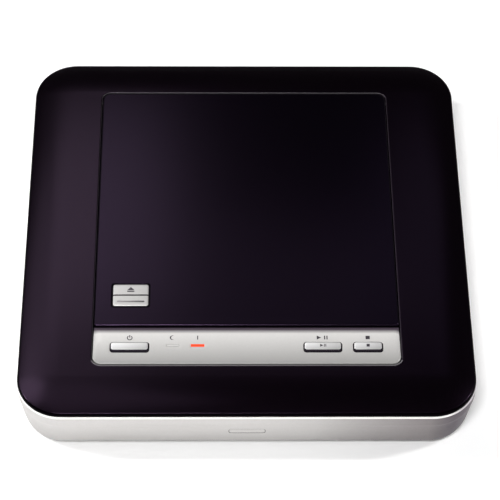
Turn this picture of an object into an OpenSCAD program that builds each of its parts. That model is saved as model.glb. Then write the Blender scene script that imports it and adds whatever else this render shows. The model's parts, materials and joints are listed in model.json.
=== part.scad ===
// Compact top-loading disc player.
// Millimetres. X to the right, Y to the back, Z up. Origin: centre of the footprint, on the table.

/* [Body] */
// Overall width of the lower shell at its lip
body_w = 250; // [248:0.5:256]
// Overall depth of the lower shell at its lip
body_d = 248; // [247:0.5:254]
// Radius of the corners seen from above
corner_r = 25; // [24:0.5:27]
// Height of the seam between lower shell and top cover
seam_z = 34.5; // [34:0.1:34.8]
// Height of the cover's flat top
top_z = 39.5; // [39.5:0.1:39.9]
// Height of the rubber feet
foot_h = 3; // [2.6:0.1:3.2]
// Thickness of the floor
floor_t = 2; // [1.6:0.1:2]

/* [Opening] */
// Half width of the cover's opening
open_hw = 84.4; // [84.3:0.1:84.6]
// Front edge of the opening
open_y0 = -93.6; // [-93.8:0.1:-93.5]
// Back edge of the opening
open_y1 = 99.3; // [99.3:0.1:99.5]
// Corner radius of the opening
open_r = 5; // [4.8:0.1:5.2]

/* [Lid] */
// Thickness of the lid's outer panel
lid_t = 2.4; // [2.2:0.1:2.4]
// Gap all round the lid and the strip
lid_gap = 0.4; // [0.35:0.05:0.45]
// Front edge of the lid
lid_y0 = -67.9; // [-68:0.1:-67.8]
// Hinge axis, distance behind the centre
hinge_y = 91.9; // [91.7:0.1:92.1]
// Hinge axis, height
hinge_z = 38; // [37.9:0.05:38.1]
// Radius of the hinge pins
pin_r = 0.7; // [0.6:0.05:0.7]

/* [Keys] */
// Travel of the open key
open_travel = 1.5; // [1.2:0.1:1.5]
// Travel of the strip's keys
key_travel = 0.6; // [0.4:0.1:0.6]
// Height of the key tops
key_top = 40.1; // [40:0.1:40.4]
// Centre of the power key, left to right
power_x = -64; // [-64.5:0.1:-63.5]
// Centre of the play key, left to right
play_x = 41.55; // [41:0.05:42]
// Centre of the stop key, left to right
stop_x = 66.25; // [66:0.05:66.5]

/* [Disc] */
// Disc centre, distance behind the centre of the body
disc_y = 15.5; // [15.4:0.1:15.6]
// Radius of the round well for a 120 mm disc
well_r = 61.5; // [61:0.1:62]
// Top face of the disc tray
tray_z = 30; // [30:0.1:30.1]
// Floor of the well
well_z = 26; // [25.9:0.1:26]
// Surface that carries the disc
disc_z = 28.5; // [28.4:0.1:28.6]
// Radius of the centring boss for a 15 mm disc hole
boss_r = 7.45; // [7.4:0.01:7.46]

/* [Pickup] */
// Pickup's innermost distance from the spindle
sled_x = 24; // [23.9:0.1:24.1]
// Travel of the pickup
sled_travel = 34; // [20:0.5:34]
// Pitch of the lead screw's thread
screw_pitch = 6; // [6:1:6]

/* [Hidden] */
$fn = 64;
cx = body_w/2 - corner_r;          // corner centres
cy = body_d/2 - corner_r;
R = corner_r;
F = foot_h;
S = seam_z;
T = top_z;
fl = foot_h + floor_t;             // top of the floor
lid_hw = open_hw - lid_gap;
lid_y1 = open_y1 - lid_gap;
lid_z0 = T - lid_t;                // underside of the lid panel
post_xy = [[106, 104], [-106, 104], [106, -104], [-106, -104], [110, 0], [-110, 0]];
tray_xy = [[76, 84], [-76, 84], [80, -32], [-80, -32]];
foot_xy = [[95, 92], [-95, 92], [95, -92], [-95, -92]];
trav_xy = [[-26, -25.5], [64, -25.5], [-26, 47], [64, 47]];
lidscrew_xy = [[62, 74], [-62, 74], [72, -52], [-36, -56]];
open_key_x = -64.1;
open_key_y = -47.8;
key_y = -82.05;
led_y = -80.9;
latch_y = -57;                     // latch pivot
latch_z = 33.6;
rod_z = 19;                        // height of guide rods and lead screw
rod_y = [-9.5, 40.5];
screw_y = -16.5;
gear_m = 0.8;                      // damper gearing: 30 teeth in a full circle on the sector, 10 on the pinion
sector_r = 12;
pinion_r = 4;
mesh_a = 250;                      // direction from the hinge axis to the pinion
pinion_y = hinge_y + (sector_r + pinion_r)*cos(mesh_a);
pinion_z = hinge_z + (sector_r + pinion_r)*sin(mesh_a);
panel_y = 114.4;                   // rear panel, inner face
jack_x = [20, 35, 50];
jack_z = 18;
inlet_x = -73;
inlet_z = 18;

// lower shell, section through wall and floor; x counts outward from the corner centre
housing_profile = [
  [0, F], [R-7, F], [R-5.6, F+.15], [R-4.3, F+.75], [R-3.45, F+1.8], [R-2.7, F+4.2], [R-1.9, F+9],
  [R-1.2, F+15], [R-.6, F+21], [R-.2, F+26], [R, S-1.5], [R-.15, S-.6], [R-.5, S-.12], [R-.9, S],
  [R-2.7, S], [R-2.7, F+24], [R-3.3, F+18], [R-4.1, F+11], [R-4.9, F+5], [R-5.6, F+2.8], [R-7, fl], [0, fl]];
// top cover, section through skin, rolled edge and locating rim
cover_profile = [
  [0, T], [R-19, T-.1], [R-14, T-.35], [R-9, T-.8], [R-5, T-1.3], [R-2.6, T-1.7], [R-1.6, T-2],
  [R-.95, T-2.6], [R-.6, T-3.5], [R-.5, S],
  [R-2.9, S], [R-2.9, S-3], [R-4.7, S-3], [R-4.7, T-4.2], [R-6, T-3.4], [R-10, T-2.7], [R-16, T-2.2], [0, T-2]];

// ---------- shared shapes ----------

// rounded rectangle from (x0,y0) to (x1,y1), front corners ra, back corners rb
module rrect(x0, y0, x1, y1, ra, rb) {
  translate([x0 + ra, y0]) square([x1 - x0 - 2*ra, y1 - y0 - rb]);
  translate([x0 + rb, y0 + ra]) square([x1 - x0 - 2*rb, y1 - y0 - ra]);
  translate([x0, y0 + ra]) square([x1 - x0, y1 - y0 - ra - rb]);
  for (x = [x0 + ra, x1 - ra]) translate([x, y0 + ra]) circle(ra);
  for (x = [x0 + rb, x1 - rb]) translate([x, y1 - rb]) circle(rb);
}

// sweeps a section once round the rounded square
module sweep_rr() {
  for (q = [[1, 1, 0], [-1, 1, 90], [-1, -1, 180], [1, -1, 270]])
    translate([q[0]*cx, q[1]*cy, 0]) rotate([0, 0, q[2]]) rotate_extrude(angle = 90) children();
  for (a = [0, 180]) rotate([0, 0, a]) translate([cx, cy, 0]) rotate([90, 0, 0]) linear_extrude(2*cy) children();
  for (a = [90, 270]) rotate([0, 0, a]) translate([cy, cx, 0]) rotate([90, 0, 0]) linear_extrude(2*cx) children();
}

module block(x0, y0, z0, x1, y1, z1) { translate([x0, y0, z0]) cube([x1 - x0, y1 - y0, z1 - z0]); }
module post(x, y, z0, z1, r) { translate([x, y, z0]) cylinder(r = r, h = z1 - z0); }
// cylinder along X from x0 to x1, axis at (y, z)
module xrod(x0, x1, y, z, r) { translate([x0, y, z]) rotate([0, 90, 0]) cylinder(r = r, h = x1 - x0); }
// cylinder along Y from y0 to y1, axis at (x, z)
module yrod(y0, y1, x, z, r) { translate([x, y1, z]) rotate([90, 0, 0]) cylinder(r = r, h = y1 - y0); }
// profile drawn in (y, z), extruded along X from x0 to x1
module yz(x0, x1) { translate([x0, 0, 0]) rotate([90, 0, 90]) linear_extrude(x1 - x0) children(); }

// round screw: head below, shank up
module screw_up(x, y, z0, zh, z1, rh, rs) {
  translate([x, y, 0]) rotate_extrude() polygon([[0, z0 + .6], [rh*.45, z0 + .6], [rh*.45, z0], [rh - .3, z0], [rh, z0 + .4],
    [rh, zh], [rs, zh], [rs, z1 - .6], [rs - .5, z1], [0, z1]]);
}
// round screw: head above, shank down
module screw_down(x, y, z0, zh, z1, rh, rs) {
  translate([x, y, 0]) rotate_extrude() polygon([[0, z0], [rs - .5, z0], [rs, z0 + .6], [rs, zh], [rh, zh], [rh, z1 - .4],
    [rh - .4, z1], [rh*.45, z1], [rh*.45, z1 - .6], [0, z1 - .6]]);
}

// tube along a helix, as one closed surface
function helix_pt(r, p, a, z0) = [r*cos(a), r*sin(a), z0 + p*a/360];
module helix(r, wire, pitch, turns, z0, per = 16, sides = 6) {
  n = ceil(turns*per);
  pts = [for (i = [0:n]) let (a = 360*i/per, c = helix_pt(r, pitch, a, z0))
    for (k = [0:sides-1]) let (b = 360*k/sides) [c[0] + wire*cos(b)*cos(a), c[1] + wire*cos(b)*sin(a), c[2] + wire*sin(b)]];
  faces = concat([[for (k = [0:sides-1]) k]],
    [for (i = [0:n-1], k = [0:sides-1]) [i*sides + k, (i+1)*sides + k, (i+1)*sides + (k+1)%sides, i*sides + (k+1)%sides]],
    [[for (k = [sides-1:-1:0]) n*sides + k]]);
  polyhedron(points = pts, faces = faces, convexity = 8);
}

// straight gear tooth pointing along +X at radius r
module tooth(r, add, ded, th) {
  polygon([[r - ded, -th*.86], [r - ded*.4, -th*.66], [r, -th*.5], [r + add*.6, -th*.33], [r + add, -th*.2],
    [r + add, th*.2], [r + add*.6, th*.33], [r, th*.5], [r - ded*.4, th*.66], [r - ded, th*.86]]);
}

// ---------- lower shell and its fittings ----------

module base_housing() color([.79, .78, .76]) difference() {
  union() {
    sweep_rr() polygon(housing_profile);
    block(-cx, -cy, F, cx, cy, fl);
    for (p = post_xy) post(p[0], p[1], F + .5, 20, 4.2);
    for (p = tray_xy) post(p[0], p[1], F + .5, tray_z - 2, 3.5);
    for (p = [[-36, 62], [64, 62], [-36, 109], [64, 96], [-113, 16], [-86, 16], [-113, 93], [-86, 93]])
      post(p[0], p[1], F + .5, 8, 2.6);
    // frame round the recessed rear panel
    difference() {
      block(-94, panel_y + 1.6, 7.4, 68, 121.3, 28.6);
      block(-92, panel_y, 9, 66, 125, 27);
    }
    // ribs that grip the rear panel
    for (x = [-94, -30, 66]) block(x, panel_y - 3, F + .5, x + 2, panel_y, 26);
  }
  // rear opening
  block(-92, 117, 9, 66, 130, 27);
  // infrared window
  translate([0, -115, 17.8]) rotate([90, 0, 0]) linear_extrude(15) {
    square([15.2, 4.8], center = true);
    for (x = [-7.5, 7.5]) translate([x, 0]) circle(2.4);
  }
  // screw ways for the cover
  for (p = post_xy) { post(p[0], p[1], F - 1, 12, 3.5); post(p[0], p[1], 11, 21, 1.6); }
  for (p = tray_xy) post(p[0], p[1], 15, tray_z, 1.25);
  // floor vents
  for (s = [-1, 1], i = [0:8]) translate([s*101, 22 + i*7, F - 1]) linear_extrude(5) {
    square([18, 2.6], center = true);
    for (x = [-9, 9]) translate([x, 0]) circle(1.3);
  }
}

module rear_panel() color([.12, .12, .13]) difference() {
  block(-95.5, panel_y, 6.5, 69.5, panel_y + 1.55, 29.5);
  for (x = jack_x) yrod(panel_y - 1, panel_y + 3, x, jack_z, 4.4);
  block(inlet_x - 10.2, panel_y - 1, inlet_z - 6.7, inlet_x + 10.2, panel_y + 3, inlet_z + 6.7);
  for (i = [0:9]) translate([-46 + i*5, panel_y + 3, inlet_z]) rotate([90, 0, 0]) linear_extrude(5) {
    square([2, 10], center = true);
    for (z = [-5, 5]) translate([0, z]) circle(1);
  }
}

module rubber_feet() color([.1, .1, .1]) for (p = foot_xy)
  translate([p[0], p[1], 0]) rotate_extrude() polygon([[0, .4], [5.4, .4], [5.8, 0], [7.3, 0], [8, .8], [8, F], [0, F]]);

module housing_screws() color([.55, .55, .56]) for (p = post_xy) screw_up(p[0], p[1], 9.6, 12, 30, 3.1, 1.2);

module ir_window() color([.72, .71, .7]) translate([0, -119.6, 17.8]) rotate([90, 0, 0]) linear_extrude(2.7) {
  square([15, 4.6], center = true);
  for (x = [-7.5, 7.5]) translate([x, 0]) circle(2.3);
}

// ---------- top cover ----------

module top_cover() color([.13, .11, .15]) difference() {
  union() {
    sweep_rr() polygon(cover_profile);
    block(-cx, -cy, T - 2, cx, cy, T);
    // skirt round the opening: deep beside the lid, shallow behind it
    difference() {
      translate([0, 0, tray_z]) linear_extrude(T - 1 - tray_z) rrect(-open_hw - 2, open_y0 - 2, open_hw + 2, open_y1 + 2, open_r + 2, open_r + 2);
      block(-90, -100, tray_z - 1, 90, lid_y0 - .3, tray_z + 1.5);
      block(-82, open_y1 - 3, tray_z - 1, 82, open_y1 + 4, T - 3.5);
    }
    for (p = post_xy) post(p[0], p[1], 20.05, T - 1.5, 3.5);
  }
  difference() {
    translate([0, 0, tray_z - 2]) linear_extrude(20) rrect(-open_hw, open_y0, open_hw, open_y1, open_r, open_r);
    // ledge that carries the strip
    difference() {
      translate([0, 0, tray_z - 3]) linear_extrude(6) rrect(-open_hw - 1, open_y0 - 1, open_hw + 1, open_y1, open_r, open_r);
      translate([0, 0, tray_z - 4]) linear_extrude(9) rrect(-open_hw + 2, open_y0 + 2, open_hw - 2, open_y1 + 3, 3, 3);
      block(-90, lid_y0 - 1.5, tray_z - 4, 90, 110, 40);
      block(-90, -100, tray_z - 4, 90, 110, tray_z + 1.5);
    }
  }
  for (s = [-1, 1]) xrod(s > 0 ? open_hw - 1 : -open_hw - 2.4, s > 0 ? open_hw + 2.4 : -open_hw + 1, hinge_y, hinge_z, pin_r + .05);
  for (p = post_xy) post(p[0], p[1], 19, 33, 1.25);
}

// ---------- disc tray ----------

module disc_tray() color([.16, .16, .17]) difference() {
  union() {
    translate([0, 0, tray_z - 2]) linear_extrude(2) rrect(-90, lid_y0 + .5, 90, 106, 3, 3);
    translate([0, disc_y, well_z - 1.6]) cylinder(r = well_r + 1.8, h = tray_z - well_z + 1.6, $fn = 96);
    for (s = [-1, 1]) translate([0, disc_y + s*well_r, well_z - 1.6]) cylinder(r = 14.8, h = tray_z - well_z + 1.6);
    // upstand behind the lid
    block(-83, 104, tray_z - 1, 83, 105.5, T - 2.3);
    // posts that carry the traverse
    for (p = trav_xy) post(p[0], p[1], 17, well_z - .5, 2.6);
    for (x = [64], y = [-25.5, 47]) post(x, y, 17, tray_z - 1, 2.6);
  }
  // round well with finger notches
  translate([0, disc_y, well_z]) cylinder(r = well_r, h = 10, $fn = 96);
  for (s = [-1, 1]) translate([0, disc_y + s*well_r, well_z]) cylinder(r = 13, h = 10);
  // spindle hole and pickup slot
  translate([0, disc_y, 20]) cylinder(r = 16.5, h = 10);
  block(8, disc_y - 10.6, 20, 67.6, disc_y + 10.6, well_z + 2);
  for (p = tray_xy) post(p[0], p[1], 20, 40, 1.6);
  for (p = trav_xy) post(p[0], p[1], 16, 23, 1.1);
  // latch slot, gear slot
  block(-69.2, -61.2, 20, -59, latch_y + 1.1, 40);
  block(38.2, 80.5, 27, 45.2, 110, 40);
}

module tray_screws() color([.55, .55, .56]) for (p = tray_xy) screw_down(p[0], p[1], 16.5, tray_z, tray_z + 1.8, 2.8, 1.2);

// ---------- control strip, keys, indicators ----------

strip_profile = [
  [-68.3, 35.4], [-68.35, 36.6], [-68.9, 37.8], [-70, 38.6], [-71.6, 39.1], [-73.5, 39.3], [-80, 39.25], [-87, 39.05],
  [-92.4, 38.75], [-93.2, 38.2], [-93.2, 33.05], [-91.8, 33.05], [-91.8, 36.8], [-87, 37.05], [-80, 37.2], [-73.5, 37.2],
  [-71.2, 36.9], [-70, 36.2], [-69.7, 35.4]];

module key_hole(x, w, d, r) { translate([x, key_y, 30]) linear_extrude(20) rrect(-w/2, -d/2, w/2, d/2, r, r); }

module control_strip() color([.8, .79, .77]) difference() {
  union() {
    intersection() {
      yz(-lid_hw, lid_hw) polygon(strip_profile);
      translate([0, 0, 30]) linear_extrude(12) rrect(-lid_hw, -93.2, lid_hw, -68, 4.6, .3);
    }
    difference() {
      translate([0, 0, 33.05]) linear_extrude(4.6) rrect(-lid_hw, -93.2, lid_hw, -70, 4.6, .3);
      translate([0, 0, 32]) linear_extrude(8) rrect(-lid_hw + 1.4, -91.8, lid_hw - 1.4, -60, 3.2, .3);
    }
    // stakes that hold the key board
    for (x = [-79, -15, 15, 79], y = [-88.6]) { post(x, y, 30.05, 37.2, 2.2); post(x, y, 27.9, 31, 1.3); post(x, y, 27.2, 28.35, 2.2); }
  }
  key_hole(power_x, 21.6, 6.7, 1.8);
  key_hole(play_x, 21.3, 6.7, 1.8);
  key_hole(stop_x, 16.5, 6.7, 1.8);
  block(-43.9, led_y - .6, 30, -36.9, led_y + .6, 50);
  block(-30.6, led_y - .85, 30, -23.1, led_y + .85, 50);
}

module strip_key(x, w) {
  d = 6;
  yb = key_y - d/2;
  intersection() {
    union() {
      translate([x, key_y, 36.9]) linear_extrude(key_top - 37.5) rrect(-w/2, -d/2, w/2, d/2, 1.5, 1.5);
      translate([x, key_y, 37.5]) linear_extrude(key_top - 37.5) rrect(-w/2 + .5, -d/2 + .5, w/2 - .5, d/2 - .5, 1.1, 1.1);
    }
    // top face slopes a little towards the front
    yz(x - w, x + w) polygon([[yb - 1, 36], [yb + d + 1, 36], [yb + d + 1, key_top], [key_y + 1, key_top], [yb, key_top - .5], [yb - 1, key_top - .6]]);
  }
  translate([x, key_y, 35.9]) linear_extrude(1.0) rrect(-w/2 - 1.1, -d/2 - 1, w/2 + 1.1, d/2 + 1, 1, 1);
  post(x, key_y, 34, 36.4, 2);
  post(x, key_y, 32.6, 34.2, 1.4);
}

module power_key() color([.82, .81, .79]) strip_key(power_x, 20.9);
module play_key() color([.82, .81, .79]) strip_key(play_x, 20.6);
module stop_key() color([.82, .81, .79]) strip_key(stop_x, 15.8);

module standby_led_lens() color([.85, .84, .83]) block(-43.8, led_y - .5, 32.2, -37, led_y + .5, 39.3);
module on_led_lens() color([1, .3, .12]) block(-30.5, led_y - .75, 32.2, -23.2, led_y + .75, 39.35);

module indicator_leds() color([.9, .9, .85]) for (x = [-40.4, -26.85])
  { block(x - 1.6, led_y - 1, 30.02, x + 1.6, led_y + 1, 31); post(x, led_y, 31, 32, .9); }

module key_board() color([.12, .35, .2]) difference() {
  block(-82, -91, 28.4, 82, -71.5, 30);
  for (x = [-79, -15, 15, 79]) post(x, -88.6, 28, 31, 1.35);
}

module key_switches() color([.2, .2, .22]) for (x = [power_x, play_x, stop_x]) difference() {
  block(x - 3, key_y - 3, 30.02, x + 3, key_y + 3, 33.3);
  post(x, key_y, 31.6, 34, 1.45);
}

// ---------- circuit boards ----------

module main_board() color([.12, .38, .22]) difference() {
  block(-40, 58, 8.02, 67, 110.9, 9.6);
  for (p = [[-36, 62], [64, 62], [-36, 109], [64, 96]]) post(p[0], p[1], 7, 11, 1.2);
}

module board_components() color([.13, .13, .14]) {
  block(-14, 72, 9.62, 12, 98, 11);
  block(24, 66, 9.62, 40, 76, 11.2);
  block(24, 84, 9.62, 34, 96, 10.8);
  block(-34, 70, 9.62, -24, 88, 11);
  for (y = [66, 74, 82]) post(50, y, 9.62, 17, 3.2);
  block(-9, 59.2, 9.62, 9, 63.4, 12.4);
}

module heat_sink() color([.6, .6, .62]) {
  block(-13, 73, 11.02, 11, 97, 13);
  for (i = [0:6]) block(-13 + i*3.8, 73, 12.5, -11.8 + i*3.8, 97, 20);
}

module power_board() color([.55, .42, .2]) difference() {
  block(-117, 12, 8.02, -82, 97, 9.6);
  for (p = [[-113, 16], [-86, 16], [-113, 93], [-86, 93]]) post(p[0], p[1], 7, 11, 1.2);
}

module transformer() color([.75, .68, .35]) {
  block(-112, 50, 12, -90, 54, 24);
  block(-112, 72, 12, -90, 76, 24);
  block(-112, 53.5, 12, -90, 72.5, 15);
  block(-112, 53.5, 21, -90, 72.5, 24);
  translate([-101, 72, 18]) rotate([90, 0, 0]) cylinder(r = 8.1, h = 18);
  block(-113.5, 49, 9.62, -88.5, 77, 12.1);
}

module power_capacitors() color([.1, .12, .25]) for (c = [[-105, 86, 8, 27], [-92, 84, 4.5, 22], [-105, 36, 6, 25], [-92, 36, 5, 22], [-92, 24, 3.5, 18]])
  translate([c[0], c[1], 0]) rotate_extrude() polygon([[0, 9.62], [c[2] - .4, 9.62], [c[2], 10.2], [c[2], 11], [c[2] - .4, 11.5], [c[2], 12],
    [c[2], c[3] - .6], [c[2] - .6, c[3]], [c[2] - 1.4, c[3]], [c[2] - 1.6, c[3] - .3], [0, c[3] - .3]]);

module flex_cable() color([.85, .82, .75]) yz(-7.5, 7.5)
  polygon([[52.1, 14.9], [54, 14.9], [56.2, 13.8], [58.2, 11.6], [59.15, 10.8], [59.15, 11.2], [58.4, 12], [56.4, 14.15], [54.1, 15.25], [52.1, 15.25]]);

// ---------- rear connectors ----------

module mains_inlet() color([.1, .1, .11]) difference() {
  union() {
    block(inlet_x - 10, 101, inlet_z - 6.5, inlet_x + 10, panel_y + 1.6, inlet_z + 6.5);
    translate([inlet_x, panel_y + 3.4, inlet_z]) rotate([90, 0, 0]) linear_extrude(1.8) rrect(-12, -8, 12, 8, 2, 2);
  }
  translate([inlet_x, panel_y + 5, inlet_z]) rotate([90, 0, 0]) linear_extrude(14.4) {
    square([7.6, 8.4], center = true);
    for (x = [-3.8, 3.8]) translate([x, 0]) circle(4.2);
  }
  for (s = [-1, 1]) yrod(100, 108, inlet_x + s*4.3, inlet_z, 1.22);
}

module inlet_pins() color([.75, .7, .5]) for (s = [-1, 1]) yrod(99, 116.4, inlet_x + s*4.3, inlet_z, 1.2);

// round wire swept through a list of points, eight sides
function unit(v) = v/norm(v);
function dir_at(p, i) = unit(i == 0 ? p[1] - p[0] : i == len(p) - 1 ? p[i] - p[i-1] : unit(p[i] - p[i-1]) + unit(p[i+1] - p[i]));
module wire(p, r) {
  n = len(p);
  pts = [for (i = [0:n-1]) let (d = dir_at(p, i), u = unit(cross(d, [1, 0, 0])), v = cross(d, u))
    for (k = [0:7]) p[i] + r*(cos(45*k)*u + sin(45*k)*v)];
  polyhedron(points = pts, faces = concat([[for (k = [7:-1:0]) k]],
    [for (i = [0:n-2], k = [0:7]) [i*8 + k, i*8 + (k+1)%8, (i+1)*8 + (k+1)%8, (i+1)*8 + k]],
    [[for (k = [0:7]) (n-1)*8 + k]]), convexity = 4);
}

module inlet_wires() color([.35, .25, .15]) {
  wire([[inlet_x - 4.3, 98.9, 18], [inlet_x - 4.3, 96, 18], [-79.9, 92.6, 16.5], [-83, 89, 14], [-84.7, 86, 12], [-85, 85, 10.9], [-85, 85, 9.62]], .9);
  wire([[inlet_x + 4.3, 98.9, 18], [inlet_x + 4.3, 96.4, 18], [-72, 94, 18.3], [-78, 91, 17], [-82.4, 86, 14], [-84, 80, 11.8], [-84.3, 78.7, 10.9], [-84.3, 78.7, 9.62]], .9);
}

module av_jack_block() color([.1, .1, .11]) difference() {
  block(11, 101, 9.62, 59, panel_y - .05, 26.5);
  for (x = jack_x) yrod(104, 130, x, jack_z, 3.72);
}

module av_jack_barrels() color([.8, .78, .72]) for (x = jack_x) difference() {
  union() { yrod(104.1, panel_y + 3.05, x, jack_z, 3.7); yrod(panel_y + 3, 123.8, x, jack_z, 4.15); }
  yrod(104, 130, x, jack_z, 3.3);
}

module jack_ring(x) {
  difference() { yrod(panel_y + 1.6, panel_y + 3, x, jack_z, 5.6); yrod(100, 130, x, jack_z, 3.75); }
  difference() { yrod(106, 123.2, x, jack_z, 3.26); yrod(112, 130, x, jack_z, 1.6); }
}
module jack_ring_yellow() color([.9, .75, .1]) jack_ring(jack_x[0]);
module jack_ring_white() color([.9, .9, .88]) jack_ring(jack_x[1]);
module jack_ring_red() color([.75, .1, .1]) jack_ring(jack_x[2]);

// ---------- traverse: spindle, pickup, drive ----------

module traverse_frame() color([.5, .5, .52]) difference() {
  union() {
    translate([0, 0, 14]) linear_extrude(2) rrect(-32, -31, 72, 52, 4, 4);
    for (y = rod_y, x = [10, 69]) block(x, y - 3.6, 15, x + 3, y + 3.6, rod_z + 3);
    for (x = [10, 69]) block(x, screw_y - 3, 15, x + 3, screw_y + 3, rod_z + 3);
  }
  block(12.99, -2.4, 10, 69.01, 33.4, 17);
  post(0, disc_y, 10, 20, 3.2);
  for (p = trav_xy) post(p[0], p[1], 10, 20, 3.45);
  for (y = rod_y) xrod(9, 73, y, rod_z, 1.52);
  xrod(9, 73, screw_y, rod_z, 1.05);
}

module isolation_grommets() color([.12, .12, .12]) for (p = trav_xy) translate([p[0], p[1], 0])
  rotate_extrude() polygon([[1.8, 12.8], [4.6, 12.8], [5, 13.2], [5, 13.98], [3.4, 13.98], [3.4, 16.02], [5, 16.02], [5, 16.6], [4.6, 16.98], [1.8, 16.98]]);

module traverse_screws() color([.6, .6, .62]) for (p = trav_xy) translate([p[0], p[1], 0])
  rotate_extrude() polygon([[0, 11.9], [1.4, 11.9], [1.4, 11.4], [3, 11.4], [3.2, 11.8], [3.2, 12.78], [1.75, 12.78], [1.75, 16.98], [1.05, 16.98], [1.05, 21.5], [.6, 22], [0, 22]]);

module guide_rods() color([.8, .8, .82]) for (y = rod_y) xrod(10.2, 71.8, y, rod_z, 1.5);

module spindle_motor() color([.7, .7, .72]) translate([0, disc_y, 0]) difference() {
  union() {
    translate([0, 0, 8.9]) cylinder(r = 12.9, h = .8);
    translate([0, 0, 9.6]) cylinder(r = 13.5, h = 4.38);
    translate([0, 0, 13]) cylinder(r = 3, h = 3.2);
  }
  translate([0, 0, 10.2]) cylinder(r = 1.05, h = 10);
}

module spindle_shaft() color([.85, .85, .87]) post(0, disc_y, 10.5, 31.6, 1);

module turntable() color([.18, .18, .19]) translate([0, disc_y, 0]) difference() {
  rotate_extrude($fn = 96) polygon([[1.02, 18], [3.6, 18], [4, 18.4], [4, 24.6], [14.4, 25.4], [15, 26], [15, disc_z - .3], [14.7, disc_z], [11.4, disc_z],
    [11.2, disc_z - .3], [8.6, disc_z - .3], [8.4, disc_z], [boss_r, disc_z], [boss_r, disc_z + 2.4], [6.2, 31.9], [2.6, 31.9], [2.2, 31.2], [1.02, 31.2]]);
  for (a = [90, 210, 330]) rotate([0, 0, a]) translate([6.15, 0, disc_z + 1.5]) sphere(1.25, $fn = 48);
}

module hub_balls() color([.85, .85, .87]) translate([0, disc_y, 0]) for (a = [90, 210, 330])
  rotate([0, 0, a]) translate([6.15, 0, disc_z + 1.5]) sphere(1.2, $fn = 48);

module pickup_sled() color([.25, .25, .27]) difference() {
  x = sled_x;
  union() {
    block(x - 10, -2.5, 17.4, x + 10, 33.5, 22.4);
    block(x - 8, 2, 12.5, x + 8, 29, 18);
    block(x - 7, -6.5, 17.4, x + 7, -2, 21);
    block(x - 7, -12.8, 16.2, x + 7, -6.2, 22);
    block(x - 4, 33, 16.7, x + 4, 41.9, 21.3);
    // follower that rides in the lead screw's thread
    block(x - 4, -18.5, 21.2, x + 4, -12.6, 22.6);
    block(x - .5, screw_y - .5, rod_z + 1.25, x + .5, screw_y + .5, 21.6);
  }
  xrod(0, 60, rod_y[0], rod_z, 1.55);
  block(x - 6, rod_y[1] - 1.6, rod_z - 1.56, x + 6, 50, rod_z + 1.56);
}

module actuator_cover() color([.55, .55, .57]) difference() {
  translate([sled_x, disc_y, 22.42]) linear_extrude(3.78) rrect(-7.5, -9, 7.5, 9, 1, 1);
  block(sled_x - 6.7, disc_y - 8.2, 22, sled_x + 6.7, disc_y + 8.2, 25.4);
  post(sled_x, disc_y, 22, 30, 4.6);
}

module lens_holder() color([.1, .1, .1]) difference() {
  union() { block(sled_x - 4, disc_y - 4, 22.9, sled_x + 4, disc_y + 4, 24.9); post(sled_x, disc_y, 24.5, 26.7, 3.9); }
  post(sled_x, disc_y, 25.9, 30, 2.65);
  post(sled_x, disc_y, 20, 30, 1.8);
}

module objective_lens() color([.5, .6, .75]) translate([sled_x, disc_y, 0]) intersection() {
  translate([0, 0, 25.92]) cylinder(r = 2.6, h = 2);
  translate([0, 0, 23.6]) sphere(3.5, $fn = 64);
}

module lead_screw() color([.8, .8, .82]) {
  thread = 40;
  twist = 360*thread/screw_pitch;
  x0 = sled_x - 3;
  xrod(10.2, x0 + .3, screw_y, rod_z, 1);
  xrod(x0 + thread - .3, 78.8, screw_y, rod_z, 1);
  translate([x0, screw_y, rod_z]) rotate([0, 90, 0]) linear_extrude(thread, twist = twist, slices = 84, $fn = 14)
    rotate([0, 0, twist*3/thread]) translate([.3, 0]) circle(1.35);
}

module sled_motor() color([.65, .65, .67]) difference() {
  union() { xrod(72.02, 86, screw_y, rod_z, 6); xrod(86, 86.8, screw_y, rod_z, 2.5); }
  xrod(71, 79.5, screw_y, rod_z, 1.05);
}

// ---------- lid ----------

module lid_panel() color([.1, .09, .12]) difference() {
  union() {
    translate([0, 0, lid_z0]) linear_extrude(lid_t) rrect(-lid_hw, lid_y0, lid_hw, lid_y1, .8, open_r - lid_gap);
    // rim below the panel
    difference() {
      translate([0, 0, 35.2]) linear_extrude(3) rrect(-lid_hw, lid_y0, lid_hw, 86, .8, .8);
      translate([0, 0, 34]) linear_extrude(6) rrect(-lid_hw + 1.6, lid_y0 + 1.6, lid_hw - 1.6, 90, .4, .4);
    }
    // pin bosses
    for (s = [-1, 1]) block(s > 0 ? 74 : -83.8, 88, 35.7, s > 0 ? 83.8 : -74, 95, lid_z0 + .5);
  }
  translate([open_key_x, open_key_y, 30]) linear_extrude(20) rrect(-10.8, -8.15, 10.8, 8.15, 1.8, 1.8);
  for (s = [-1, 1]) xrod(s > 0 ? 76 : -85, s > 0 ? 85 : -76, hinge_y, hinge_z, pin_r + .02);
  for (p = lidscrew_xy) post(p[0], p[1], 36, 38.7, 1);
}

module lid_liner() color([.15, .15, .16]) difference() {
  union() {
    block(-lid_hw + 1.7, lid_y0 + 1.7, 35.4, lid_hw - 1.7, 86, lid_z0 - .02);
    for (r = [57, 34]) difference() {
      translate([0, disc_y, 34.5]) cylinder(r = r, h = 1.4, $fn = 96);
      translate([0, disc_y, 34]) cylinder(r = r - 1.6, h = 3, $fn = 96);
    }
  }
  block(-76.4, -62.4, 30, -51.8, -37.9, 40);
  for (p = lidscrew_xy) post(p[0], p[1], 30, 40, 1.1);
}

module lid_screws() color([.55, .55, .56]) for (p = lidscrew_xy) screw_up(p[0], p[1], 34.1, 35.38, 38.5, 2.3, .95);

module hinge_pins() color([.8, .8, .82]) for (s = [-1, 1]) xrod(s > 0 ? 76.1 : -86.3, s > 0 ? 86.3 : -76.1, hinge_y, hinge_z, pin_r);

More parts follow.
